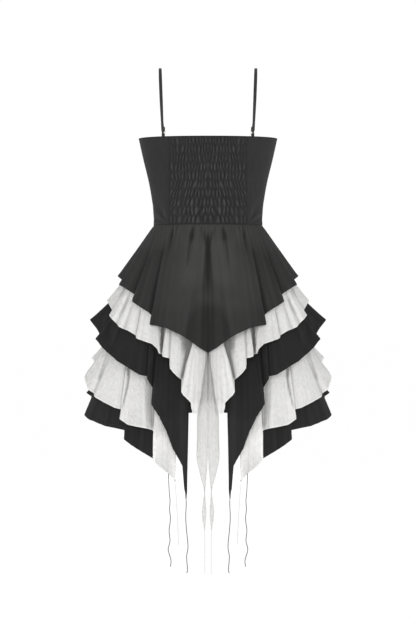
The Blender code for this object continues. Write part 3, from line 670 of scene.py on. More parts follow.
@dataclass
class Wardrobe:
    """The finishes, made once and shared by the pieces."""

    bodice_black: bpy.types.Material = field(init=False)
    skirt_black: bpy.types.Material = field(init=False)
    tier_black: bpy.types.Material = field(init=False)
    tape_black: bpy.types.Material = field(init=False)
    white: bpy.types.Material = field(init=False)
    black_thread: bpy.types.Material = field(init=False)
    white_thread: bpy.types.Material = field(init=False)
    silver: bpy.types.Material = field(init=False)

    def __post_init__(self) -> None:
        """Make each material."""
        # Copies of the black cotton at different brightness: lightest on the overskirt, darker on the bodice
        # and darkest on the tiers
        self.bodice_black = CottonFinish(
            "bodice_black_cotton", light=(0.031, 0.031, 0.032), dark=(0.020, 0.020, 0.021), roughness=0.9,
            sheen=0.02, weave_pitch=0.00055, weave_depth=0.00010, crinkle_width=0.010, crinkle_length=0.045,
            crinkle_depth=0.0004, hollow=0.36, crest=2.3).make()
        self.skirt_black = CottonFinish(
            "overskirt_black_cotton", light=(0.052, 0.052, 0.051), dark=(0.036, 0.036, 0.035), roughness=0.9,
            sheen=0.02, weave_pitch=0.00060, weave_depth=0.00012, crinkle_width=0.016, crinkle_length=0.090,
            crinkle_depth=0.0006, hollow=0.35, crest=1.25).make()
        self.tier_black = CottonFinish(
            "tier_black_cotton", light=(0.022, 0.022, 0.022), dark=(0.014, 0.014, 0.014), roughness=0.9,
            sheen=0.02, weave_pitch=0.00060, weave_depth=0.00012, crinkle_width=0.016, crinkle_length=0.090,
            crinkle_depth=0.0006, hollow=0.35, crest=1.5).make()
        self.tape_black = CottonFinish(
            "strap_black_tape", light=(0.045, 0.045, 0.043), dark=(0.026, 0.026, 0.025), roughness=0.80,
            sheen=0.10, weave_pitch=0.00080, weave_depth=0.00018, crinkle_width=0.003, crinkle_length=0.012,
            crinkle_depth=0.0002, hollow=1.0, crest=1.0).make()
        self.white = CottonFinish(
            "white_crinkled_gauze", light=(0.975, 0.97, 0.96), dark=(0.78, 0.775, 0.76), roughness=0.92,
            sheen=0.05, weave_pitch=0.00070, weave_depth=0.00015, crinkle_width=0.0066,
            crinkle_length=0.012, crinkle_depth=0.0032, hollow=0.26, crest=1.04, transmission=0.15).make()
        self.black_thread = ThreadFinish("black_sewing_thread", (0.014, 0.014, 0.015)).make()
        self.white_thread = ThreadFinish("white_sewing_thread", (0.74, 0.73, 0.70)).make()
        self.silver = SilverWireFinish().make()

    def thread(self, cloth: Cloth) -> bpy.types.Material:
        """Return the sewing thread that goes with a cloth."""
        return self.black_thread if cloth is Cloth.BLACK else self.white_thread


class NodeRecipe(NodeBoard):
    """A Geometry Nodes tree under construction, with named inputs."""

    def __init__(self, name: str) -> None:
        """Start a tree that takes and gives geometry."""
        self.tree = bpy.data.node_groups.new(name, "GeometryNodeTree")
        self.tree.interface.new_socket("Geometry", in_out="INPUT", socket_type="NodeSocketGeometry")
        self.tree.interface.new_socket("Geometry", in_out="OUTPUT", socket_type="NodeSocketGeometry")
        self.start = self.tree.nodes.new("NodeGroupInput")
        self.end = self.tree.nodes.new("NodeGroupOutput")
        self.keys: dict[str, str] = {}

    def size(self, name: str, kind: str, value: float | None = None) -> bpy.types.NodeSocket:
        """Add a named input and return the socket that gives its value inside the tree."""
        item = self.tree.interface.new_socket(name, in_out="INPUT", socket_type=kind)
        if value is not None:
            item.default_value = value
        self.keys[name] = item.identifier
        return self.start.outputs[name]

    def close(self, geometry: bpy.types.NodeSocket, material: bpy.types.NodeSocket) -> None:
        """End the tree in Realize Instances and Set Material."""
        real = self.add("GeometryNodeRealizeInstances", Geometry=geometry)
        painted = self.add("GeometryNodeSetMaterial", Geometry=real.outputs[0], Material=material)
        self.tree.links.new(painted.outputs[0], self.end.inputs[0])

    def bake(self, item: bpy.types.Object, values: dict[str, object]) -> None:
        """Run the tree on an object with the given named values and keep the result as its mesh."""
        modifier = item.modifiers.new(self.tree.name, "NODES")
        modifier.node_group = self.tree
        for name, value in values.items():
            modifier[self.keys[name]] = value
        depsgraph = bpy.context.evaluated_depsgraph_get()
        mesh = bpy.data.meshes.new_from_object(item.evaluated_get(depsgraph))
        item.modifiers.remove(modifier)
        item.data = mesh


class StitchMachine:
    """Sews stitches along lines: short round threads laid end to end."""

    def __init__(self) -> None:
        """Build the tree."""
        self.recipe = NodeRecipe("sewn_stitches")
        recipe = self.recipe
        pitch = recipe.size("Pitch", "NodeSocketFloat", 0.003)
        length = recipe.size("Stitch Length", "NodeSocketFloat", 0.0022)
        radius = recipe.size("Thread Radius", "NodeSocketFloat", 0.0002)
        material = recipe.size("Thread", "NodeSocketMaterial")
        line = recipe.add("GeometryNodeMeshToCurve", Mesh=recipe.start.outputs[0])
        spaced = recipe.add("GeometryNodeResampleCurve", Curve=line.outputs[0])
        if hasattr(spaced, "mode"):
            spaced.mode = "LENGTH"
        recipe.feed(spaced.inputs["Length"], pitch)
        stitch = recipe.add("GeometryNodeMeshCylinder", {"fill_type": "NGON"}, Vertices=5, Radius=radius,
                            Depth=length)
        along = recipe.add("GeometryNodeInputTangent")
        turned = recipe.add("FunctionNodeAlignRotationToVector", {"axis": "Z"}, Vector=along.outputs[0])
        laid = recipe.add("GeometryNodeInstanceOnPoints", Points=spaced.outputs[0],
                          Instance=stitch.outputs[0], Rotation=turned.outputs[0])
        recipe.close(laid.outputs[0], material)

    def sew(self, name: str, lines: Sequence[Sequence[Vector]], thread: bpy.types.Material, cloth: Cloth,
            pitch: float = 0.0030, length: float = 0.0022, radius: float = 0.00022) -> bpy.types.Object:
        """Sew along some lines.

        Args:
            name: The name of the new piece.
            lines: The lines, each a list of points.
            thread: The thread's material.
            cloth: Not used.
            pitch: From one stitch to the next, in metres.
            length: The length of a stitch.
            radius: Half the thread's thickness.

        Returns:
            The piece with all the stitches.
        """
        mesh = bpy.data.meshes.new(name)
        points: list[Vector] = []
        edges: list[tuple[int, int]] = []
        for line in lines:
            first = len(points)
            points.extend(line)
            edges.extend((first + index, first + index + 1) for index in range(len(line) - 1))
        mesh.from_pydata(points, edges, [])
        item = add_object(name, mesh)
        self.recipe.bake(item, {"Pitch": pitch, "Stitch Length": length, "Thread Radius": radius,
                                "Thread": thread})
        settle(item, cloth)
        return item


@dataclass(frozen=True)
class Crinkle:
    """How deep, wide and long a cloth's pressed crinkles are, in metres."""

    depth: float
    width: float
    length: float


WHITE_TIER_CRINKLE = Crinkle(depth=0.0022, width=0.015, length=0.032)
BLACK_SKIRT_CRINKLE = Crinkle(depth=0.0018, width=0.045, length=0.16)
UNDERSKIRT_CRINKLE = Crinkle(depth=0.0, width=0.0085, length=0.055)
TAIL_CRINKLE = Crinkle(depth=0.0012, width=0.006, length=0.05)


class CrinklePress:
    """Presses fine crinkles into white gauze, across its free length and not at its seams."""

    def __init__(self, seed: float = 7.0) -> None:
        """Build the tree. The seed is the noise texture's fixed fourth coordinate."""
        self.recipe = NodeRecipe("pressed_crinkles")
        recipe = self.recipe
        depth = recipe.size("Depth", "NodeSocketFloat", 0.0008)
        width = recipe.size("Crinkle Width", "NodeSocketFloat", 0.008)
        length = recipe.size("Crinkle Length", "NodeSocketFloat", 0.05)
        material = recipe.size("Cloth", "NodeSocketMaterial")
        lie = recipe.add("GeometryNodeInputNamedAttribute", {"data_type": "FLOAT_VECTOR"}, Name=LIE)
        parts = recipe.add("ShaderNodeSeparateXYZ", Vector=lie.outputs[0])
        across = recipe.math("DIVIDE", parts.outputs[0], width)
        down = recipe.math("DIVIDE", parts.outputs[1], length)
        place = recipe.add("ShaderNodeCombineXYZ", X=across, Y=down)
        crease = recipe.add("ShaderNodeTexNoise", {"noise_dimensions": "4D"}, Vector=place.outputs[0], W=seed,
                            Scale=1.0, Detail=2.0, Roughness=0.55, Distortion=0.5)
        lift = recipe.math("SUBTRACT", crease.outputs[0], 0.5)
        lift = recipe.math("MULTIPLY", recipe.math("MULTIPLY", lift, depth), parts.outputs[2])
        normal = recipe.add("GeometryNodeInputNormal")
        shift = recipe.add("ShaderNodeVectorMath", {"operation": "SCALE"})
        recipe.feed(shift.inputs[0], normal.outputs[0])
        recipe.feed(shift.inputs["Scale"], lift)
        moved = recipe.add("GeometryNodeSetPosition", Geometry=recipe.start.outputs[0],
                           Offset=shift.outputs[0])
        recipe.close(moved.outputs[0], material)

    def press(self, item: bpy.types.Object, material: bpy.types.Material, crinkle: Crinkle) -> None:
        """Press crinkles into a piece of cloth."""
        self.recipe.bake(item, {"Depth": crinkle.depth, "Crinkle Width": crinkle.width,
                                "Crinkle Length": crinkle.length, "Cloth": material})


def add_object(name: str, data: bpy.types.ID) -> bpy.types.Object:
    """Return a new object in the scene's collection."""
    item = bpy.data.objects.new(name, data)
    bpy.context.scene.collection.objects.link(item)
    return item


def settle(item: bpy.types.Object, cloth: Cloth, *nodes: str) -> None:
    """Let a finished piece ride on the dress, and hide the nodes that it stands for."""
    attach(item, BODY)
    if nodes:
        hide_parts(*nodes)
    LOG.info("%s: %s", item.name, ", ".join(nodes) if nodes else "trim")


class ClothGrid:
    """A piece of cloth as rows of points, from its seam down to its edge."""

    def __init__(self, rows: list[list[Vector]], freedom: Callable[[int, int], float] | None = None,
                 folds: list[list[float]] | None = None) -> None:
        """Keep the rows.

        Args:
            rows: The points, seam first.
            freedom: How freely the point at a row and a column may crinkle, from 0 to 1.
            folds: The painted light and shade at each point, from -1, painted shade as in a hollow, to 1, a
                painted highlight as on a crest.
        """
        self.rows = rows
        self.freedom = freedom or (lambda row, column: 1.0)
        self.folds = folds or [[0.0] * len(row) for row in rows]

    def cloth_places(self) -> list[list[tuple[float, float]]]:
        """Return where each point lies on the flat cloth, in metres."""
        columns = len(self.rows[0])
        middle = self.rows[len(self.rows) * 2 // 3]
        across = [0.0]
        for column in range(1, columns):
            step = middle[column] - middle[column - 1]
            across.append(across[-1] + math.hypot(step.x, step.y))
        places = []
        down = [0.0] * columns
        for row, points in enumerate(self.rows):
            if row:
                down = [down[column] + (points[column] - self.rows[row - 1][column]).length
                        for column in range(columns)]
            places.append(list(zip(across, down)))
        return places

    def make(self, name: str, material: bpy.types.Material) -> bpy.types.Object:
        """Return the cloth as a single-sided piece whose faces point out from the dress's axis."""
        places = self.cloth_places()
        columns = len(self.rows[0])
        vertices = [point for row in self.rows for point in row]
        faces = []
        for row in range(len(self.rows) - 1):
            for column in range(columns - 1):
                first = row * columns + column
                faces.append((first, first + columns, first + columns + 1, first + 1))
        mesh = bpy.data.meshes.new(name)
        mesh.from_pydata(vertices, [], faces)
        mesh.update()
        outward = sum(face.normal.x * face.center.x + face.normal.y * face.center.y
                      for face in mesh.polygons)
        if outward < 0.0:
            mesh.flip_normals()
        layer = mesh.uv_layers.new(name=UV_NAME)
        flat = [place for row in places for place in row]
        for loop in mesh.loops:
            layer.data[loop.index].uv = flat[loop.vertex_index]
        lie = mesh.attributes.new(LIE, "FLOAT_VECTOR", "POINT")
        for row, line in enumerate(places):
            for column, (across, down) in enumerate(line):
                lie.data[row * columns + column].vector = (across, down, self.freedom(row, column))
        # Each point's painted light and shade, which the finish turns into darker or lighter colour
        fold = mesh.attributes.new(SHADE_ATTRIBUTE, "FLOAT", "POINT")
        for index, value in enumerate(value for row in self.folds for value in row):
            fold.data[index].value = min(1.0, max(-1.0, value))
        mesh.materials.append(material)
        mesh.shade_smooth()
        return add_object(name, mesh)


def give_thickness(item: bpy.types.Object, thickness: float) -> None:
    """Give a single-sided piece its thickness inwards."""
    solid = item.modifiers.new("cloth thickness", "SOLIDIFY")
    solid.thickness = thickness
    solid.offset = -1.0
    solid.use_rim = True


def cut_cloth(node: str, grid: ClothGrid, cloth: Cloth, material: bpy.types.Material, press: CrinklePress,
              crinkle: Crinkle, thickness: float) -> bpy.types.Object:
    """Make a skirt piece.

    Args:
        node: The node that the piece stands for.
        grid: Its points.
        cloth: Not used.
        material: Its finish.
        press: What presses its crinkles.
        crinkle: The size of the crinkles.
        thickness: How thick the cloth is, in metres.

    Returns:
        The crinkled piece with its thickness.
    """
    item = grid.make(f"cloth_{node}", material)
    press.press(item, material, crinkle)
    item.data.shade_smooth()
    give_thickness(item, thickness)
    settle(item, cloth, node)
    return item


@dataclass
class SkirtLayer:
    """A layer of the skirt: its hem, its levels, and how it flares from the underskirt."""

    name: str
    hem: tuple[Corner, ...]
    seam: Level
    knee: Level
    straight: float
    flare: float
    reach: float
    drop: float
    cloth: Cloth
    figure: Figure
    flute_depth: float = 1.5
    flute_pitch: float = 46.0
    gather_depth: float = 0.0
    centre_flare: float = 0.0
    creases: tuple[Crease, ...] = ()
    # The bands of painted light and shade, and how much painted shade and highlight the hem's hollows and
    # crests give
    shades: tuple[Shade, ...] = ()
    cavity_share: float = 1.0
    dent_depth: float = 1.5
    seam_stand: float = 0.0018
    turned_in: float = 0.0
    fold_cut: float = 3.0
    fold_cut_share: float = 0.4
    fold_steps: int = 3
    tuck_seam_share: float = 0.4
    tuck_lean: float = 0.5
    low_share: float = 0.65
    column_step: float = 3.6
    soften_passes: int = 1
    front_waves: int = 4
    wave_depth: float = 6.0
    wave_columns: int = 18
    thickness: float = 0.0007
    hem_fold: float = 0.008
    band_rows: tuple[int, int, int, int] = (7, 8, 9, 9)

    def level(self, level: Level, turn: float) -> float:
        """Return how far below the waist a level line runs at a turn, in metres."""
        facing = math.cos(math.radians(turn))
        end = level.back if facing > 0.0 else level.front
        return blend(level.side, end, facing * facing) * MM

    def corners(self) -> list[Vector]:
        """Return the hem's corners from the centre back to the side."""
        path = []
        for index, corner in enumerate(self.hem):
            path.append(Vector((corner.sewn, corner.side, corner.back, corner.drop)))
            if corner.tuck > 0:
                reach = math.hypot(corner.side, corner.back) - corner.tuck
                bearing = math.atan2(corner.side, corner.back) + corner.tuck * self.tuck_lean / reach
                sewn = blend(corner.sewn, self.hem[index + 1].sewn, self.tuck_seam_share)
                side, back = reach * math.sin(bearing), reach * math.cos(bearing)
                path.append(Vector((sewn, side, back, corner.drop - corner.rise)))
        return path

    def back_run(self) -> list[Vector]:
        """Return the hem's points to the side seam, with corners rounded and runs divided."""
        corners = self.corners()
        points = [corners[0]]
        for before, here, after in zip(corners, corners[1:], corners[2:]):
            ends = []
            for neighbour in (before, after):
                length = (neighbour - here).yzw.length
                ends.append(here.lerp(neighbour, min(self.fold_cut_share, self.fold_cut / length)))
            for step in range(self.fold_steps + 1):
                share = step / self.fold_steps
                points.append(ends[0].lerp(here, share).lerp(here.lerp(ends[1], share), share))
        points.append(corners[-1])
        result = [points[0]]
        for here in points[1:]:
            last = result[-1]
            pieces = max(1, math.ceil((here - last).yz.length / self.column_step),
                         math.ceil(abs(here.w - last.w) / 30.0))
            result.extend(last.lerp(here, piece / pieces) for piece in range(1, pieces + 1))
        return result

    def front_run(self, start: Vector) -> list[Vector]:
        """Return the plain fluted front hem from the side seam to the centre front."""
        columns = self.front_waves * self.wave_columns
        bearing = math.atan2(start.y, start.z)
        reach = math.hypot(start.y, start.z)
        points = []
        for column in range(1, columns + 1):
            share = column / columns
            angle = blend(bearing, math.pi, share)
            wave = (math.cos(2.0 * math.pi * self.front_waves * share) - 1.0) * self.wave_depth
            out = blend(reach, self.reach, ease(share)) + wave * math.sin(share * math.pi / 2.0)
            drop = blend(start.w, self.drop, ease(share))
            sewn = blend(start.x, 180.0, share)
            points.append(Vector((sewn, out * math.sin(angle), out * math.cos(angle), drop)))
        return points

    def half_hem(self) -> tuple[list[Vector], int]:
        """Return the hem from the centre back to the centre front, and the index of the side seam."""
        back = self.back_run()
        side_seam = len(back) - 1
        hem = back + self.front_run(back[-1])
        for _ in range(self.soften_passes):
            soft = [here.copy() for here in hem]
            for index in range(1, len(hem) - 1):
                mean = (hem[index - 1] + hem[index + 1] + hem[index] * 2.0) * 0.25
                soft[index].y, soft[index].z = mean.y, mean.z
            hem = soft
        walked = 0.0
        previous = hem[0]
        for index, here in enumerate(hem):
            walked += (here - previous).yz.length
            previous = here.copy()
            swing = noise.noise(Vector((walked / self.flute_pitch * 2.0, self.straight, 0.7)))
            reach = math.hypot(here.y, here.z)
            grown = (reach + swing * self.flute_depth * ease(walked / 40.0)) / reach
            hem[index] = Vector((here.x, here.y * grown, here.z * grown, here.w))
        hem[-1].y = 0.0
        return hem, side_seam

    def on_base(self, turn: float, drop: float, start: float) -> Vector:
        """Return the place over the underskirt of cloth sewn on at a drop, lower down."""
        point = self.figure.base_point(turn, drop)
        place = Vector((point.x, point.y))
        return place + place.normalized() * (self.seam_stand if start > 0.0 else 0.0)

    def hang(self, hem: Vector, drop: float) -> Vector:
        """Return the point at a drop on the line of cloth that ends at a hem point."""
        start = self.level(self.seam, hem.x)
        full = min(hem.w, self.straight) * MM
        share = min(1.0, max(0.0, (drop - start) / (full - start)))
        spread = Vector((-hem.y, -hem.z)) * MM - self.on_base(hem.x, full, start)
        facing = max(0.0, math.cos(math.radians(hem.x)))
        bend = self.flare + self.centre_flare * facing * facing
        place = self.on_base(hem.x, min(drop, full), start) + spread * share ** bend
        lift = self.relief(hem.x, (drop - start) / MM) * MM
        # Narrow bands of painted shade also sink the cloth a little, so there they are partly a real shallow
        # groove
        if place.y < 0.0:
            lift += min(0.0, self.shade_at(abs(place.x) / MM, drop / MM, 25.0)) * self.dent_depth * MM
        if lift < 0.0:
            lift = max(lift, 0.0003 - spread.length * share ** bend)
        place += place.normalized() * lift
        return Vector((place.x, place.y, WAIST_Z - drop))

    def relief(self, turn: float, below: float) -> float:
        """Return how far gathers and creases lift the cloth at a place below its seam, in millimetres."""
        if self.gather_depth == 0.0:
            return 0.0
        turn = abs(turn)
        length = 55.0 + 40.0 * noise.noise(Vector((turn * 0.35, 2.0, 6.0)))
        swell = ease(below / 10.0) * (1.0 - ease(below / length))
        pull = 0.25 + 0.75 * (1.0 - ease((turn - 36.0) / 20.0))
        ripple = 0.5 + 0.5 * math.sin(turn * 1.55 + 2.0 * math.sin(turn * 0.31) + below * 0.012)
        height = self.gather_depth * swell * pull * ripple
        for crease in self.creases:
            middle = blend(crease.sewn, crease.foot, min(1.0, below / crease.length))
            near = math.exp(-((turn - middle) / crease.width) ** 2)
            height -= crease.depth * near * ease(below / 22.0) * (1.0 - ease(below / crease.length))
        return height

    def shade_at(self, side: float, drop: float, widest: float = 1000.0) -> float:
        """Return the painted light (above 0) or painted shade (below 0) that the bands lay on the back's
        cloth at a place in millimetres.

        Args:
            side: The distance from the centre line.
            drop: The place below the waist.
            widest: Bands wider than this are left out.

        Returns:
            The sum of the bands there, below 0 in a hollow.
        """
        total = 0.0
        for shade in self.shades:
            first, last = shade.rows[0][0], shade.rows[-1][0]
            if not first <= drop <= last or shade.rows[0][2] > widest:
                continue
            middle, half = smooth_row(shade.rows, drop)
            away = side - middle
            soft = shade.outer if away > 0.0 else shade.inner
            near = ease(1.0 - (abs(away) - half) / soft)
            total += shade.amount * near * ease((drop - first) / shade.top) * ease((last - drop) / shade.foot)
        return total

    def cavities(self, hems: list[Vector]) -> list[float]:
        """Return how far each hem point stands on a crest or in a hollow beside its neighbours."""
        walked = [0.0]
        for here, after in zip(hems, hems[1:]):
            walked.append(walked[-1] + (after - here).yz.length)
        reach = [math.hypot(hem.y, hem.z) for hem in hems]
        result = []
        for index, here in enumerate(walked):
            value = 0.0
            for window, height in ((7.0, 3.2), (16.0, 9.0)):
                near = [reach[other] for other, place in enumerate(walked) if abs(place - here) < window]
                value += (reach[index] - sum(near) / len(near)) / height
            result.append(value)
        return result

    def painted_shading(self, hems: list[Vector], lines: list[list[Vector]]) -> list[list[float]]:
        """Return the painted light and shade of every row: highlights on crests and gathers, shade in hollows
        and creases, and the bands.
        """
        values = []
        for hem, cavity, line in zip(hems, self.cavities(hems), lines):
            start = self.level(self.seam, hem.x)
            column = []
            for point in line:
                drop = WAIST_Z - point.z
                share = (drop - start) / (hem.w * MM - start)
                # Painted shade in the hem's hollows and painted highlights on its crests, painted shade in
                # creases and highlights on gathers, then the bands
                value = cavity * self.cavity_share * ease(share * 1.2 + 0.1)
                value += self.relief(hem.x, (drop - start) / MM) * 0.28
                if point.y < 0.0:
                    value += self.shade_at(abs(point.x) / MM, drop / MM)
                column.append(min(1.25, max(-1.25, value)))
            values.append(column)
        return values

    def drops(self, hem: Vector) -> list[float]:
        """Return the drops of the rows over one hem point, with a fine hem fold at the end."""
        start = self.level(self.seam, hem.x)
        knee = self.level(self.knee, hem.x)
        end = hem.w * MM
        low = min(self.straight * MM, blend(knee, end, self.low_share))
        fold = end - self.hem_fold
        low = min(low, fold - 0.004)
        stops = (start + GAP, blend(start, knee, 0.5), knee, low, fold)
        result = [stops[0]]
        for rows, high, low_end in zip(self.band_rows, stops, stops[1:]):
            result.extend(blend(high, low_end, row / rows) for row in range(1, rows + 1))
        return result + [fold + 0.0007, fold + 0.004, end - 0.0006, end]

    def columns(self) -> tuple[list[Vector], list[list[Vector]], int]:
        """Return all the hem points round the skirt, their lines of cloth, and the side seam's index."""
        half, side_seam = self.half_hem()
        hems = half + [Vector((-hem.x, -hem.y, hem.z, hem.w)) for hem in reversed(half[:-1])]
        lines = []
        for hem in hems:
            line = [self.hang(hem, drop) for drop in self.drops(hem)]
            if self.turned_in > 0.0:
                inward = -level_out(line[0])
                line[:1] = [line[0] + inward * self.turned_in, line[0], line[0].lerp(line[1], 0.1)]
            for index in (-3, -2):
                outward = level_out(line[index])
                line[index] = line[index] + outward * 0.0005
            lines.append(line)
        return hems, lines, side_seam

    def stitch_lines(self, hems: list[Vector], heights: Sequence[float]) -> list[list[Vector]]:
        """Return lines that run just outside the cloth, some heights above the hem."""
        lines = []
        for height in heights:
            line = []
            for hem in hems:
                point = self.hang(hem, hem.w * MM - height)
                outward = level_out(point)
                line.append(point + outward * HEM_STITCH_STAND)
            lines.append(line)
        return lines

    def build(self, wardrobe: Wardrobe, machine: StitchMachine, press: CrinklePress) -> None:
        """Build the layer's pieces with their hems and stitches."""
        hems, lines, side_seam = self.columns()
        last = len(hems) - 1
        far_seam = last - side_seam
        closed = self.hem[0].side == 0
        spans = {Facing.FRONT: (hems[side_seam:far_seam + 1], lines[side_seam:far_seam + 1])}
        left = (hems[:side_seam + 1], lines[:side_seam + 1])
        right = (hems[far_seam:], lines[far_seam:])
        if closed:
            spans[Facing.BACK] = (right[0][:-1] + left[0], right[1][:-1] + left[1])
        else:
            spans[Facing.BACK_LEFT] = left
            spans[Facing.BACK_RIGHT] = right
        for facing, (edge, cloth_lines) in spans.items():
            self.build_piece(facing, edge, cloth_lines, wardrobe, machine, press)

    def build_piece(self, facing: Facing, hems: list[Vector], lines: list[list[Vector]], wardrobe: Wardrobe,
                    machine: StitchMachine, press: CrinklePress) -> None:
        """Build one cut piece, give it its finish and sew its hem."""
        node = f"{self.name}_{facing.value}"
        rows = [list(row) for row in zip(*lines)]
        total = len(rows) - 1
        folds = [list(row) for row in zip(*self.painted_shading(hems, lines))]
        grid = ClothGrid(rows, lambda row, column: ease(row / 8.0) * ease((total - row) / 3.0 + 0.35), folds)
        if self.cloth is Cloth.WHITE:
            material, crinkle, heights = wardrobe.white, WHITE_TIER_CRINKLE, WHITE_HEM_LINES
        else:
            material = wardrobe.skirt_black if self.name == "overskirt" else wardrobe.tier_black
            crinkle, heights = BLACK_SKIRT_CRINKLE, BLACK_HEM_LINES
        item = cut_cloth(node, grid, self.cloth, material, press, crinkle, self.thickness)
        stitches = machine.sew(f"hem_stitches_{node}", self.stitch_lines(hems, heights),
                               wardrobe.thread(self.cloth), self.cloth)


@dataclass
class Underskirt:
    """The plain flared base that carries the tiers, in a back and a front piece."""

    figure: Figure
    length: float = 0.385
    columns: int = 150
    rows: int = 40
    thickness: float = 0.0008
    inset: float = 0.0003
    top: float = 0.0050
    seam_inset: float = 0.0022
    seam_drop: float = 0.012
    seam_reach: float = 0.020
    ripple_depth: float = 1.6
    ripple_drop: float = 0.335
    ripple_reach: float = 0.05
    ripples: float = 34.0

    def build(self, wardrobe: Wardrobe, machine: StitchMachine, press: CrinklePress) -> None:
        """Build both pieces."""
        for word, first_turn in (("back", -90.0), ("front", 90.0)):
            rows = []
            for row in range(self.rows + 1):
                drop = blend(self.top, self.length, row / self.rows)
                line = []
                for column in range(self.columns + 1):
                    turn = first_turn + 180.0 * column / self.columns
                    point = self.figure.base_point(turn, drop)
                    inward = -level_out(point)
                    swell = ease((drop - self.ripple_drop) / self.ripple_reach)
                    ripple = 0.5 + 0.5 * math.sin(math.radians(turn) * self.ripples)
                    fold = self.ripple_depth * ripple * swell * MM
                    seam = self.seam_inset * (1.0 - ease((drop - self.seam_drop) / self.seam_reach))
                    line.append(point + inward * (self.inset + seam + fold))
                rows.append(line)
            grid = ClothGrid(rows, lambda row, column: 0.0)
            item = cut_cloth(f"underskirt_{word}", grid, Cloth.WHITE, wardrobe.white, press,
                             UNDERSKIRT_CRINKLE, self.thickness)
            lines = [[point + level_out(point) * BASE_STITCH_STAND for point in rows[-2]]]
            stitches = machine.sew(f"hem_stitches_underskirt_{word}", lines, wardrobe.white_thread,
                                   Cloth.WHITE)


@dataclass
class CentreTail:
    """The long centre back tail in two halves, each ending in a narrow leaf."""

    crown: float = 3.0
    columns: int = 14
    rows: int = 110
    thickness: float = 0.0007

    def build(self, wardrobe: Wardrobe, machine: StitchMachine, press: CrinklePress) -> None:
        """Build both halves."""
        for side in Side:
            rows = []
            folds = []
            for row in range(self.rows + 1):
                drop = blend(CENTRE_TAIL[0].drop, CENTRE_TAIL[-1].drop, row / self.rows)
                inner, outer, back = smooth_row(CENTRE_TAIL, drop)
                width = outer - inner
                line = []
                for column in range(self.columns + 1):
                    share = column / self.columns
                    crown = self.crown * math.sin(math.pi * share) * min(1.0, width / 24.0)
                    ripple = 0.5 * math.sin(share * 19.0 + drop * 0.018) * min(1.0, width / 20.0)
                    ripple *= ease((drop - 300.0) / 60.0)
                    across = side.value * blend(inner, outer, share) * MM
                    line.append(Vector((across, -(back + crown + ripple) * MM, WAIST_Z - drop * MM)))
                rows.append(line)
                # Painted shade on the whole tail, a painted shadow at its top where it hangs behind the
                # flaps, and more painted shade along its inner edge
                deep = 0.17 * (1.0 - ease((drop - 375.0) / 35.0))
                folds.append([-deep - 0.20 - 0.2 * deep * (column < 4) for column in range(self.columns + 1)])
            grid = ClothGrid(rows, lambda row, column: ease(row / 6.0) * 0.5, folds)
            item = cut_cloth(f"centre_tail_{side.word}", grid, Cloth.WHITE, wardrobe.white, press,
                             TAIL_CRINKLE, self.thickness)
            lines = []
            for column in (1, self.columns - 1):
                lines.append([row[column] + Vector((0.0, -BASE_STITCH_STAND, 0.0)) for row in rows])
            stitches = machine.sew(f"edge_stitches_centre_tail_{side.word}", lines, wardrobe.white_thread,
                                   Cloth.WHITE, pitch=0.0034, radius=0.00018)


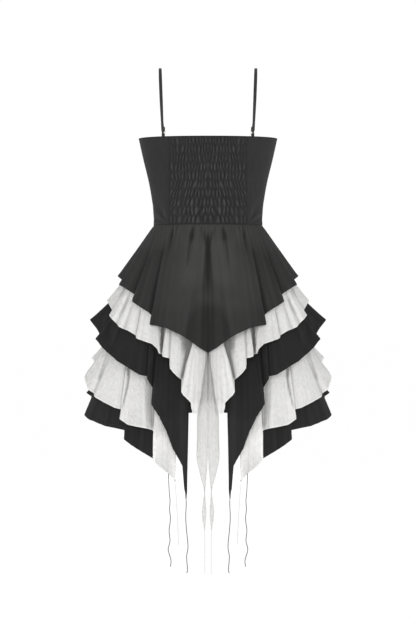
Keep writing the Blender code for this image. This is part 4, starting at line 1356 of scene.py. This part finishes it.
@dataclass
class Bodice:
    """The fitted bodice: a shirred back panel, two side backs, two side fronts and a centre front."""

    figure: Figure
    shirred_half_width: float = 0.087
    princess_at_waist: float = 0.048
    princess_at_edge: float = 0.084
    thickness: float = 0.0011
    elastic_rows: int = 10
    puckers: float = 24.0
    puff_height: float = 0.0030
    drag_depth: float = 0.0012
    shirred_columns: int = 240
    rows_per_band: int = 12
    plain_step: float = 0.004
    plain_rows: int = 52

    def level_edge(self, side: float) -> float:
        """Return the level back top edge's rise."""
        return EDGE_RISE

    def shirred_edge(self, rise: float) -> float:
        """Return the turn of the shirred panel's edge."""
        return self.figure.turn_at(self.shirred_half_width, rise, True)

    def side_seam(self, rise: float) -> float:
        """Return the turn of the side seam."""
        return 90.0

    def princess_seam(self, rise: float) -> float:
        """Return the turn of the princess seam over the bust."""
        side = blend(self.princess_at_waist, self.princess_at_edge, rise / EDGE_RISE)
        return self.figure.turn_at(side, rise, False)

    def pucker(self, across: float, rise: float) -> float:
        """Return how far the shirred cloth puckers out at a place, from 0 to about 1."""
        height = EDGE_RISE / self.elastic_rows
        band = rise / height + 0.22 * noise.noise(Vector((abs(across) * 55.0, 4.2, 0.3)))
        fraction = band - math.floor(band)
        swell = math.sin(math.pi * fraction) ** 0.6
        fan = 1.0 + 0.45 * (1.0 - ease(rise / 0.10))
        spread = abs(across) / fan
        sway = noise.noise(Vector((spread * 60.0, rise * 24.0, 3.1 + math.floor(band) * 0.9)))
        phase = spread / self.shirred_half_width * self.puckers * 0.5 + sway * 0.9
        phase += 0.5 * (math.floor(band) % 2)
        ridge = (0.5 + 0.5 * math.cos(2.0 * math.pi * phase)) ** 1.2
        size = 0.35 + 1.3 * (0.5 + 0.5 * noise.noise(Vector((spread * 110.0, band * 1.7, 5.5))))
        fine = 0.25 * noise.noise(Vector((spread * 300.0, rise * 120.0, 1.7)))
        edge = ease((self.shirred_half_width - abs(across)) / 0.006)
        ends = ease(rise / 0.004) * ease((EDGE_RISE - rise) / 0.005)
        return (ridge * size * blend(0.15, 1.0, swell) + fine) * edge * ends

    def build_shirred_back(self, wardrobe: Wardrobe, machine: StitchMachine) -> None:
        """Build the shirred centre back panel with its rows of elastic stitches."""
        count = self.elastic_rows * self.rows_per_band
        rows = []
        folds = []
        for row in range(count + 1):
            rise = EDGE_RISE * (1.0 - row / count) + GAP * 0.5
            edge = self.shirred_edge(rise)
            line = []
            values = []
            for column in range(self.shirred_columns + 1):
                turn = blend(-edge, edge, column / self.shirred_columns)
                point = self.figure.bodice_point(turn, rise)
                pucker = self.pucker(point.x, rise)
                line.append(point + self.figure.bodice_normal(turn, rise) * self.puff_height * pucker)
                # Painted highlights on the puckers' crests and painted shade between them, stronger and
                # lighter in a painted light patch low in the middle of the back
                painted_light_patch = math.exp(-(point.x / 0.05) ** 2 - ((rise - 0.055) / 0.07) ** 2)
                values.append((pucker - 0.42) * (0.75 + 0.75 * painted_light_patch) + 0.12 * painted_light_patch)
            rows.append(line)
            folds.append(values)
        tuck_edges(rows)
        grid = ClothGrid(rows, folds=folds)
        item = grid.make("cloth_bodice_back_shirred", wardrobe.bodice_black)
        give_thickness(item, self.thickness)
        settle(item, Cloth.BLACK, "bodice_back_shirred")
        lines = []
        for band in range(1, self.elastic_rows):
            lines.append([point + Vector((0.0, -0.0003, 0.0)) for point in rows[band * self.rows_per_band]])
        lines.append([point + Vector((0.0, -0.0004, 0.0)) for point in rows[2]])
        stitches = machine.sew("elastic_stitches_back", lines, wardrobe.black_thread, Cloth.BLACK,
                               pitch=0.0034, length=0.0026, radius=0.00018)

    def build_plain(self, node: str, low: Callable[[float], float], high: Callable[[float], float],
                    top: Callable[[float], float], wardrobe: Wardrobe, machine: StitchMachine) -> None:
        """Build one plain panel between two seams.

        Args:
            node: The CAD node that the panel stands for.
            low: The turn of its first seam at a rise.
            high: The turn of its second seam at a rise.
            top: The rise of the top edge at a place to the side.
            wardrobe: The finishes.
            machine: The sewing machine.
        """
        span = (self.figure.bodice_point(low(0.1), 0.1) - self.figure.bodice_point(high(0.1), 0.1)).length
        columns = max(16, round(span * 1.15 / self.plain_step))
        rows = []
        folds = []
        for row in range(self.plain_rows + 1):
            share = 1.0 - row / self.plain_rows
            line = []
            values = []
            for column in range(columns + 1):
                guess = EDGE_RISE * share
                turn = blend(low(guess), high(guess), column / columns)
                rise = top(self.figure.bodice_point(turn, guess).x) * share + GAP * 0.5
                turn = blend(low(rise), high(rise), column / columns)
                point = self.figure.bodice_point(turn, rise)
                drag = self.drag_fold(abs(point.x), rise, point.y < 0.0)
                line.append(point + self.figure.bodice_normal(turn, rise) * (drag + 0.5) * self.drag_depth)
                # The drag folds' crests get painted highlights and their hollows painted shade, as well as a
                # real bulge
                values.append(drag)
            rows.append(line)
            folds.append(values)
        tuck_edges(rows)
        grid = ClothGrid(rows, folds=folds)
        item = grid.make(f"cloth_{node}", wardrobe.bodice_black)
        give_thickness(item, self.thickness)
        settle(item, Cloth.BLACK, node)
        lines = []
        for column in (1, columns - 1):
            lines.append([self.raised(row[column]) for row in rows])
        lines.append([self.raised(point) for point in rows[1]])
        stitches = machine.sew(f"seam_stitches_{node}", lines, wardrobe.black_thread, Cloth.BLACK)

    def raised(self, point: Vector) -> Vector:
        """Return a point just outside the cloth."""
        return point + level_out(point) * 0.0003

    def drag_fold(self, side: float, rise: float, facing_back: bool) -> float:
        """Return the soft drag folds that the shirring pulls into the side backs, from -0.5 to 0.5."""
        if not facing_back:
            return 0.0
        beside = side - self.shirred_half_width
        reach = math.hypot(beside, rise)
        near = (1.0 - ease(reach / 0.085)) * ease(beside / 0.010) * ease(rise / 0.010)
        return 0.5 * near * math.sin(math.atan2(rise, max(0.001, beside)) * 11.0 + 1.0)

    def build(self, wardrobe: Wardrobe, machine: StitchMachine) -> None:
        """Build all six panels."""
        self.build_shirred_back(wardrobe, machine)
        for side in Side:
            seams = [self.shirred_edge, self.side_seam, self.princess_seam]
            if side is Side.RIGHT:
                seams = [lambda rise, seam=seam: -seam(rise) for seam in seams]
            self.build_plain(f"bodice_side_back_{side.word}", seams[0], seams[1], self.level_edge, wardrobe,
                             machine)
            self.build_plain(f"bodice_side_front_{side.word}", seams[1], seams[2], self.figure.neck_rise,
                             wardrobe, machine)
        self.build_plain("bodice_front_centre", self.princess_seam,
                         lambda rise: 360.0 - self.princess_seam(rise), self.figure.neck_rise, wardrobe,
                         machine)


def tuck_edges(rows: list[list[Vector]]) -> None:
    """Roll the first and last columns of a panel into its seams."""
    for row in rows:
        for end, beside in ((0, 1), (-1, -2)):
            inward = -level_out(row[end])
            pull = (row[end] - row[beside]).normalized() * GAP
            row[end] = row[end] + pull + inward * 0.0009


@dataclass
class ShoulderStraps:
    """The straps over the shoulders, each with a wire ring and a short loop at the back."""

    figure: Figure
    width: float = 0.0062
    thickness: float = 0.0008
    tail: float = 0.009
    steps: int = 8
    ring_z: float = -0.1525
    ring_across: float = 0.1012
    ring_wire: float = 0.0008
    bar_spacing: float = 0.0068
    ring_half_width: float = 0.0047
    ring_corner: float = 0.0012
    corner_steps: int = 8
    bend_steps: int = 14
    bodice_wall: float = 0.0016

    def edge_frame(self, across_place: float, side: Side, facing_back: bool) -> tuple[float, Vector, Vector]:
        """Return the turn at the top edge, and the outward and crosswise directions there."""
        turn = self.figure.turn_at(across_place, EDGE_RISE, facing_back) * -side.value
        out = self.figure.bodice_normal(turn, EDGE_RISE)
        out.z = 0.0
        out.normalize()
        across = Vector((out.y, -out.x, 0.0))
        return turn, out, across if across.x > 0.0 else -across

    def inside_edge(self, turn: float, out: Vector, lower: float, depth: float) -> Vector:
        """Return a point inside the bodice's wall, some way below its top edge."""
        return self.figure.bodice_point(turn, EDGE_RISE - lower) - out * depth

    def bend(self, centre: Vector, out: Vector, direction: float) -> list[Vector]:
        """Return the points of a tape that bends round a bar of the ring."""
        radius = self.ring_wire + GAP + self.thickness * 0.5
        points = []
        for step in range(self.bend_steps + 1):
            angle = math.pi * step / self.bend_steps
            lift = Vector((0.0, 0.0, direction * radius * math.sin(angle)))
            points.append(centre + out * radius * math.cos(angle) + lift)
        return points

    def ribbon(self, name: str, route: list[tuple[Vector, Vector]], material: bpy.types.Material,
               node: str) -> None:
        """Make a tape with soft edges along a route of points, each with its crosswise direction."""
        shape = bmesh.new()
        uv = shape.loops.layers.uv.new(UV_NAME)
        half, thin = self.width * 0.5, self.thickness * 0.5
        outline = ((-1.0, -0.4), (-0.9, -0.9), (-0.45, -1.0), (0.45, -1.0), (0.9, -0.9), (1.0, -0.4),
                   (1.0, 0.4), (0.9, 0.9), (0.45, 1.0), (-0.45, 1.0), (-0.9, 0.9), (-1.0, 0.4))
        sections = []
        walked = 0.0
        for index, (point, across) in enumerate(route):
            if index:
                walked += (point - route[index - 1][0]).length
            along = (route[min(index + 1, len(route) - 1)][0] - route[max(index - 1, 0)][0]).normalized()
            out = along.cross(across).normalized()
            ring = [shape.verts.new(point + across * wide * half + out * high * thin)
                    for wide, high in outline]
            sections.append((ring, walked))
        count = len(outline)
        for (here, low), (after, high) in zip(sections, sections[1:]):
            for corner in range(count):
                nearby = (corner + 1) % count
                face = shape.faces.new([here[corner], here[nearby], after[nearby], after[corner]])
                places = ((corner, low), (corner + 1, low), (corner + 1, high), (corner, high))
                for loop, (step, down) in zip(face.loops, places):
                    loop[uv].uv = (step * self.width * 0.2, down)
        shape.faces.new(sections[0][0][::-1])
        shape.faces.new(sections[-1][0])
        bmesh.ops.recalc_face_normals(shape, faces=shape.faces)
        mesh = bpy.data.meshes.new(name)
        shape.to_mesh(mesh)
        shape.free()
        mesh.materials.append(material)
        mesh.shade_smooth()
        settle(add_object(name, mesh), Cloth.BLACK, node)

    def ring(self, side: Side, centre: Vector, across: Vector, material: bpy.types.Material) -> None:
        """Make the oblong wire ring as a round tube."""
        points = []
        for turn, (wide, high) in enumerate(((-1.0, 1.0), (1.0, 1.0), (1.0, -1.0), (-1.0, -1.0))):
            for step in range(self.corner_steps + 1):
                angle = math.radians(180.0 - 90.0 * turn - 90.0 / self.corner_steps * step)
                wide_place = wide * (self.ring_half_width - self.ring_corner)
                high_place = high * (self.bar_spacing * 0.5 - self.ring_corner)
                wide_place += math.cos(angle) * self.ring_corner
                high_place += math.sin(angle) * self.ring_corner
                points.append(centre + across * wide_place + Vector((0.0, 0.0, high_place)))
        curve = bpy.data.curves.new(f"wire_ring_{side.word}", "CURVE")
        curve.dimensions = "3D"
        curve.bevel_depth = self.ring_wire
        curve.bevel_resolution = 4
        spline = curve.splines.new("POLY")
        spline.points.add(len(points) - 1)
        for place, point in zip(spline.points, points):
            place.co = (*point, 1.0)
        spline.use_cyclic_u = True
        curve.materials.append(material)
        item = add_object(f"wire_ring_{side.word}", curve)
        settle(item, Cloth.METAL, f"strap_ring_{side.word}")

    def build(self, wardrobe: Wardrobe, machine: StitchMachine) -> None:
        """Build both straps."""
        for side in Side:
            self.build_side(side, wardrobe, machine)

    def build_side(self, side: Side, wardrobe: Wardrobe, machine: StitchMachine) -> None:
        """Build one strap, its ring and its loop, with the stitches along the strap's edges."""
        inside = self.bodice_wall + GAP * 2.0 + self.thickness * 0.5
        spread = self.thickness + GAP
        turn, out, across = self.edge_frame(self.ring_across, side, True)
        centre = self.inside_edge(turn, out, 0.0, inside + spread * 0.5)
        centre.z = self.ring_z
        bar = Vector((0.0, 0.0, self.bar_spacing * 0.5))
        bend = self.bend(centre + bar, out, -1.0)
        route = [(bend[-1] + Vector((0.0, 0.0, self.tail)), across)]
        route += [(point, across) for point in reversed(bend)]
        shoulder = [Vector((side.value * place, forward, height)) * MM
                    for place, forward, height in STRAP_ROUTE]
        front_turn, front_out, front_across = self.edge_frame(abs(shoulder[-1].x), side, False)
        ends = [self.inside_edge(front_turn, front_out, lower, inside) for lower in (0.0, self.tail)]
        path = curve_through([bend[0] + bar * 2.0] + shoulder + [ends[0] + bar], self.steps) + ends[1:]
        free = []
        for index, point in enumerate(path):
            share = index / (len(path) - 1)
            near_back = ease(1.0 - share * 3.0)
            near_front = ease(share * 3.0 - 2.0)
            level = Vector((1.0 - near_back - near_front, 0.0, 0.0))
            free.append((point, (across * near_back + front_across * near_front + level).normalized()))
        self.ribbon(f"tape_strap_{side.word}", route + free, wardrobe.tape_black, f"strap_{side.word}")
        lines = []
        for edge in (-0.36, 0.36):
            line = []
            for index in range(1, len(free) - 1):
                point, wide = free[index]
                along = (free[index + 1][0] - free[index - 1][0]).normalized()
                outward = along.cross(wide).normalized()
                line.append(point + wide * edge * self.width + outward * self.thickness * 0.5)
            lines.append(line)
            lines.append([point * 1.0 for point in line])
            for point, (middle, wide) in zip(lines[-1], free[1:-1]):
                point += (middle + wide * edge * self.width - point) * 2.0
        machine.sew(f"edge_stitches_strap_{side.word}", lines, wardrobe.black_thread, Cloth.BLACK,
                    pitch=0.0026, length=0.0019, radius=0.00016)
        self.ring(side, centre, across, wardrobe.silver)
        loop = self.bend(centre - bar, out, 1.0)
        legs = []
        for depth in (inside, inside + spread):
            legs.append([self.inside_edge(turn, out, lower, depth) for lower in (self.tail, -GAP * 3.0)])
        loop_route = [(point, across) for point in legs[0] + loop + legs[1][::-1]]
        self.ribbon(f"tape_loop_{side.word}", loop_route, wardrobe.tape_black, f"strap_loop_{side.word}")


@dataclass
class LooseThreads:
    """The threads that hang from the points of the tiers, and the knots of the white ones."""

    steps: int = 6
    knot_size: float = 0.0052
    knot_lift: float = 0.0019

    def build(self, wardrobe: Wardrobe) -> None:
        """Build every thread and knot on both sides."""
        for side in Side:
            knot = self.knot(side, wardrobe.white_thread)
            rows = (
                ("black_outer_thread", BLACK_OUTER_ROUTE, 0.0016, 0.0015, Cloth.BLACK, ()),
                ("black_inner_thread", BLACK_INNER_ROUTE, 0.0016, 0.0017, Cloth.BLACK, ()),
                ("white_knotted_thread", WHITE_KNOTTED_ROUTE, 0.0013, self.knot_lift, Cloth.WHITE, (knot,)),
                ("white_centre_thread", WHITE_CENTRE_ROUTE, 0.0013, 0.0, Cloth.WHITE, ()),
            )
            for name, route, thickness, lift, cloth, knots in rows:
                self.thread(name, route, thickness, lift, cloth, side, wardrobe, knots)

    def thread(self, name: str, route: Sequence[Sequence[float]], thickness: float, lift: float, cloth: Cloth,
               side: Side, wardrobe: Wardrobe, knots: Sequence[bpy.types.Object]) -> None:
        """Args:
            name: The CAD node without its side.
            route: The places it passes.
            thickness: Its diameter.
            lift: How far its top end is raised to meet the rounded point of the cloth.
            cloth: The colour.
            side: The side of the wearer.
            wardrobe: The finishes.
            knots: Not used.
        """
        places = [Vector((side.value * across * MM, -back * MM, WAIST_Z - drop * MM))
                  for across, back, drop in route]
        places[0].z += lift
        path = curve_through(places, self.steps)
        curve = bpy.data.curves.new(f"loose_{name}_{side.word}", "CURVE")
        curve.dimensions = "3D"
        curve.bevel_depth = thickness * 0.5
        curve.bevel_resolution = 2
        curve.use_fill_caps = True
        spline = curve.splines.new("POLY")
        spline.points.add(len(path) - 1)
        for point, place in zip(spline.points, path):
            point.co = (*place, 1.0)
        curve.materials.append(wardrobe.thread(cloth))
        item = add_object(f"loose_{name}_{side.word}", curve)
        settle(item, cloth, f"{name}_{side.word}")

    def knot(self, side: Side, material: bpy.types.Material) -> bpy.types.Object:
        """Make the knot as a small ball wound round with thread."""
        across, back, drop = WHITE_KNOTTED_ROUTE[0]
        radius = self.knot_size * 0.5
        centre = Vector((side.value * across * MM, -back * MM, WAIST_Z - drop * MM + radius + GAP))
        centre.z += self.knot_lift
        shape = bmesh.new()
        bmesh.ops.create_uvsphere(shape, u_segments=40, v_segments=24, radius=radius)
        for vertex in shape.verts:
            place = vertex.co / radius
            turn = math.atan2(place.y, place.x)
            groove = abs(math.sin(turn * 1.5 + place.z * 5.0))
            vertex.co *= 0.80 + 0.20 * groove
            vertex.co += centre
        mesh = bpy.data.meshes.new(f"wound_knot_{side.word}")
        shape.to_mesh(mesh)
        shape.free()
        mesh.materials.append(material)
        mesh.shade_smooth()
        item = add_object(f"wound_knot_{side.word}", mesh)
        settle(item, Cloth.WHITE, f"knot_{side.word}")
        return item


@dataclass
class Studio:
    """A plain pale floor and backdrop, soft light and the camera."""

    camera_distance: float = 6.0
    camera_height: float = -0.554
    frame_height: float = 1.41648
    sensor: float = 36.0
    floor_z: float = -1.20
    floor_radius: float = 60.0
    horizon_light: float = 1.02
    sky_light: float = 0.38

    def place_camera(self) -> None:
        """Put the camera straight behind the dress, as the photograph shows it."""
        camera = bpy.data.cameras.new("camera")
        camera.sensor_width = self.sensor
        camera.lens = self.sensor * self.camera_distance / self.frame_height
        item = add_object("camera", camera)
        item.location = (0.0, -self.camera_distance, self.camera_height)
        item.rotation_euler = (math.radians(90.0), 0.0, 0.0)
        bpy.context.scene.camera = item

    def softbox(self, name: str, place: tuple[float, float, float], aim: tuple[float, float, float],
                size: float, power: float) -> None:
        """Add a soft square light that points at a place."""
        light = bpy.data.lights.new(name, "AREA")
        light.shape = "SQUARE"
        light.size = size
        light.energy = power
        item = add_object(name, light)
        item.location = place
        item.visible_camera = False
        item.rotation_euler = (Vector(aim) - Vector(place)).to_track_quat("-Z", "Y").to_euler()

    def surroundings(self) -> None:
        """Make the world white near the horizon and softer overhead, so every side has a pale background."""
        world = bpy.data.worlds.new("white surroundings")
        world.use_nodes = True
        nodes, links = world.node_tree.nodes, world.node_tree.links
        direction = nodes.new("ShaderNodeTexCoord")
        split = nodes.new("ShaderNodeSeparateXYZ")
        band = nodes.new("ShaderNodeMapRange")
        band.interpolation_type = "SMOOTHSTEP"
        for socket, value in zip(band.inputs[1:5], (0.10, 0.34, self.horizon_light, self.sky_light)):
            socket.default_value = value
        links.new(direction.outputs["Generated"], split.inputs[0])
        links.new(split.outputs["Z"], band.inputs["Value"])
        links.new(band.outputs[0], nodes["Background"].inputs["Strength"])
        nodes["Background"].inputs["Color"].default_value = (1.0, 1.0, 1.0, 1.0)
        bpy.context.scene.world = world

    def light(self) -> None:
        """Add the lights, the floor and the white surroundings."""
        self.surroundings()
        self.softbox("key softbox", (0.0, -4.8, 0.0), (0.0, 0.0, -0.6), 1.8, 76.0)
        self.softbox("front softbox", (0.0, 4.6, 0.3), (0.0, 0.0, -0.6), 1.8, 56.0)
        self.pale_floor()
        bpy.context.scene.view_settings.view_transform = "Standard"

    def pale_floor(self) -> None:
        """Make a wide round floor below the dress."""
        shape = bmesh.new()
        bmesh.ops.create_circle(shape, cap_ends=True, segments=96, radius=self.floor_radius)
        bmesh.ops.translate(shape, verts=shape.verts, vec=(0.0, 0.0, self.floor_z))
        mesh = bpy.data.meshes.new("pale_floor")
        shape.to_mesh(mesh)
        shape.free()
        board = ShaderBoard("pale_studio_floor")
        board.shader.inputs["Base Color"].default_value = (0.1, 0.1, 0.1, 1.0)
        board.shader.inputs["Roughness"].default_value = 1.0
        board.shader.inputs["Specular IOR Level"].default_value = 0.0
        board.shader.inputs["Emission Color"].default_value = (1.0, 1.0, 1.0, 1.0)
        board.shader.inputs["Emission Strength"].default_value = 0.955
        mesh.materials.append(board.material)
        item = add_object("pale_floor", mesh)


def skirt_layers(figure: Figure) -> list[SkirtLayer]:
    """Return the layers of the skirt from the top one down."""
    return [
        SkirtLayer("overskirt", OVERSKIRT_HEM, Level(0, 0, 0), Level(150, 60, 80), 400, 1.0, 160, 140,
                   Cloth.BLACK, figure, flute_depth=1.2, gather_depth=3.2, centre_flare=0.6,
                   creases=OVERSKIRT_CREASES, shades=OVERSKIRT_SHADES, cavity_share=0.8,
                   turned_in=0.003),
        SkirtLayer("tier_1", TIER_1_HEM, Level(150, 54, 70), Level(290, 120, 150), 400, 1.15, 178, 205,
                   Cloth.WHITE, figure, flute_depth=0.9, flute_pitch=70.0, shades=TIER_1_SHADES,
                   cavity_share=0.55),
        SkirtLayer("tier_2", TIER_2_HEM, Level(215, 91, 125), Level(330, 160, 200), 430, 1.4, 198, 268,
                   Cloth.BLACK, figure, flute_depth=2.0, shades=TIER_2_SHADES),
        SkirtLayer("tier_3", TIER_3_HEM, Level(290, 220, 205), Level(390, 275, 275), 470, 1.2, 215, 335,
                   Cloth.WHITE, figure, flute_depth=1.2, flute_pitch=80.0, shades=TIER_3_SHADES,
                   cavity_share=0.6),
        SkirtLayer("tier_4", TIER_4_HEM, Level(330, 318, 285), Level(410, 350, 350), 500, 1.2, 230, 405,
                   Cloth.BLACK, figure, flute_depth=2.0),
    ]


def main() -> None:
    """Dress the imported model."""
    logging.basicConfig(level=logging.INFO, format="%(name)s: %(message)s")
    studio = Studio()
    studio.place_camera()
    wardrobe = Wardrobe()
    LooseThreads().build(wardrobe)
    figure = Figure()
    machine = StitchMachine()
    press = CrinklePress()
    Bodice(figure).build(wardrobe, machine)
    ShoulderStraps(figure).build(wardrobe, machine)
    for layer in skirt_layers(figure):
        layer.build(wardrobe, machine, press)
    Underskirt(figure).build(wardrobe, machine, press)
    CentreTail().build(wardrobe, machine, press)
    studio.light()


if __name__ == "__main__":
    main()
